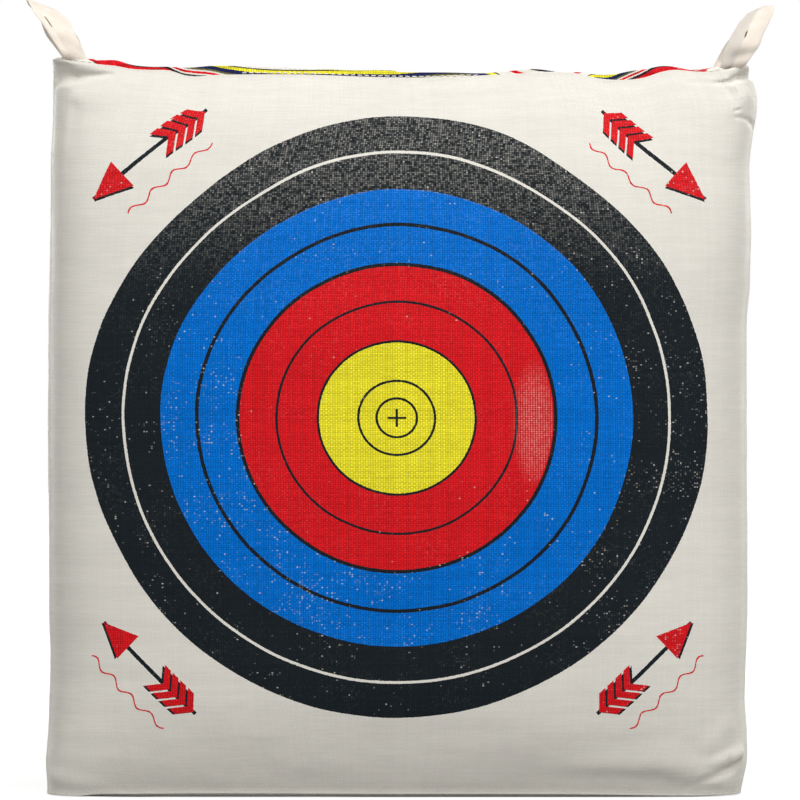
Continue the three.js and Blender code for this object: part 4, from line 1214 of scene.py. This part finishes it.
# Name, place, size, power and tint of each lamp. All look at one point, a little over the bag's middle.
LAMPS = [("key", (0.5, -1.3, 2.9), 1.4, 21, (1, 0.992, 0.975)),
         ("right", (1.6, -2.6, 2.4), 1.6, 47, (1, 1, 1)),
         ("left", (-1.6, -2.2, 2.8), 1.6, 48, (1, 1, 1)),
         ("low right", (3.0, -1.0, 1.2), 1.6, 8, (1, 1, 1)),
         ("rear left", (-1.9, 2.6, 1.2), 2.0, 46, (1, 1, 1)),
         ("rear right", (2.2, 2.4, 1.2), 2.0, 40, (1, 1, 1))]
AIM = Vector((0, 0, 0.45))
# The floor glows white far off, and keeps a shadow near the bag
FLOOR_REACH, FLOOR_TONE, FLOOR_NEAR, FLOOR_FAR, FLOOR_GLOW = 14.0, 0.36, 0.9, 2.6, 0.74
SOFT_TINT, SOFT_STRENGTH = (0.98, 0.99, 1.0, 1), 0.2


def place_in_scene(name, data, place):
    thing = bpy.data.objects.new(name, data)
    thing.location = place
    bpy.context.scene.collection.objects.link(thing)
    return thing


def add_camera():
    data = bpy.data.cameras.new("camera")
    data.lens, data.sensor_width, data.clip_end = CAMERA_LENS, CAMERA_SENSOR, CLIP_END
    camera = place_in_scene("camera", data, CAMERA_PLACE)
    camera.rotation_euler = (math.radians(90), 0, 0)
    bpy.context.scene.camera = camera


def add_lamps():
    for name, place, size, power, tint in LAMPS:
        data = bpy.data.lights.new(name, "AREA")
        data.shape, data.size, data.energy, data.color = "DISK", size, power, tint
        lamp = place_in_scene(name, data, place)
        lamp.rotation_euler = (AIM - Vector(place)).to_track_quat("-Z", "Y").to_euler()


def add_floor():
    look = Look("floor")
    place = look.add("TexCoord", output="Object")
    distance = look.add("VectorMath", place, output="Value", operation="LENGTH")
    glow = look.seen_directly() * look.add("MapRange", distance, FLOOR_NEAR, FLOOR_FAR, FLOOR_GLOW, 1.0)
    diffuse = look.add("BsdfDiffuse", (FLOOR_TONE, FLOOR_TONE, FLOOR_TONE, 1))
    glow = look.add("Emission", inputs={"Strength": glow})
    look.add("OutputMaterial", look.add("AddShader", diffuse, glow))
    corners = np.array([(-1, -1, 0), (1, -1, 0), (1, 1, 0), (-1, 1, 0)]) * FLOOR_REACH
    make_object("floor", corners, [(0, 1, 2, 3)], [look.material])


def add_world():
    world = bpy.data.worlds.new("world")
    bpy.context.scene.world = world
    nodes = Nodes(world)
    soft = nodes.add("Background", SOFT_TINT, SOFT_STRENGTH)
    white = nodes.add("Background", (1, 1, 1, 1), 1.0)
    nodes.add("OutputWorld", nodes.add("MixShader", nodes.seen_directly(), soft, white))


add_camera()
add_world()
add_floor()
add_lamps()
bpy.context.scene.view_settings.view_transform = "Standard"

# The bag
FACE, PLAIN, THREAD_LOOK = printed_face(), WovenCover("plain_cover_cloth").wrinkled(), thread_look()
add_walls(FACE, PLAIN)
top_cover([printed_top()])
bottom_cover([PLAIN])
add_rows(THREAD_LOOK)
STRAP_LOOK = strap_look()
for strap_side in WORD:
    add_strap(strap_side, STRAP_LOOK)
add_tacks(THREAD_LOOK)
add_inside(THREAD_LOOK)
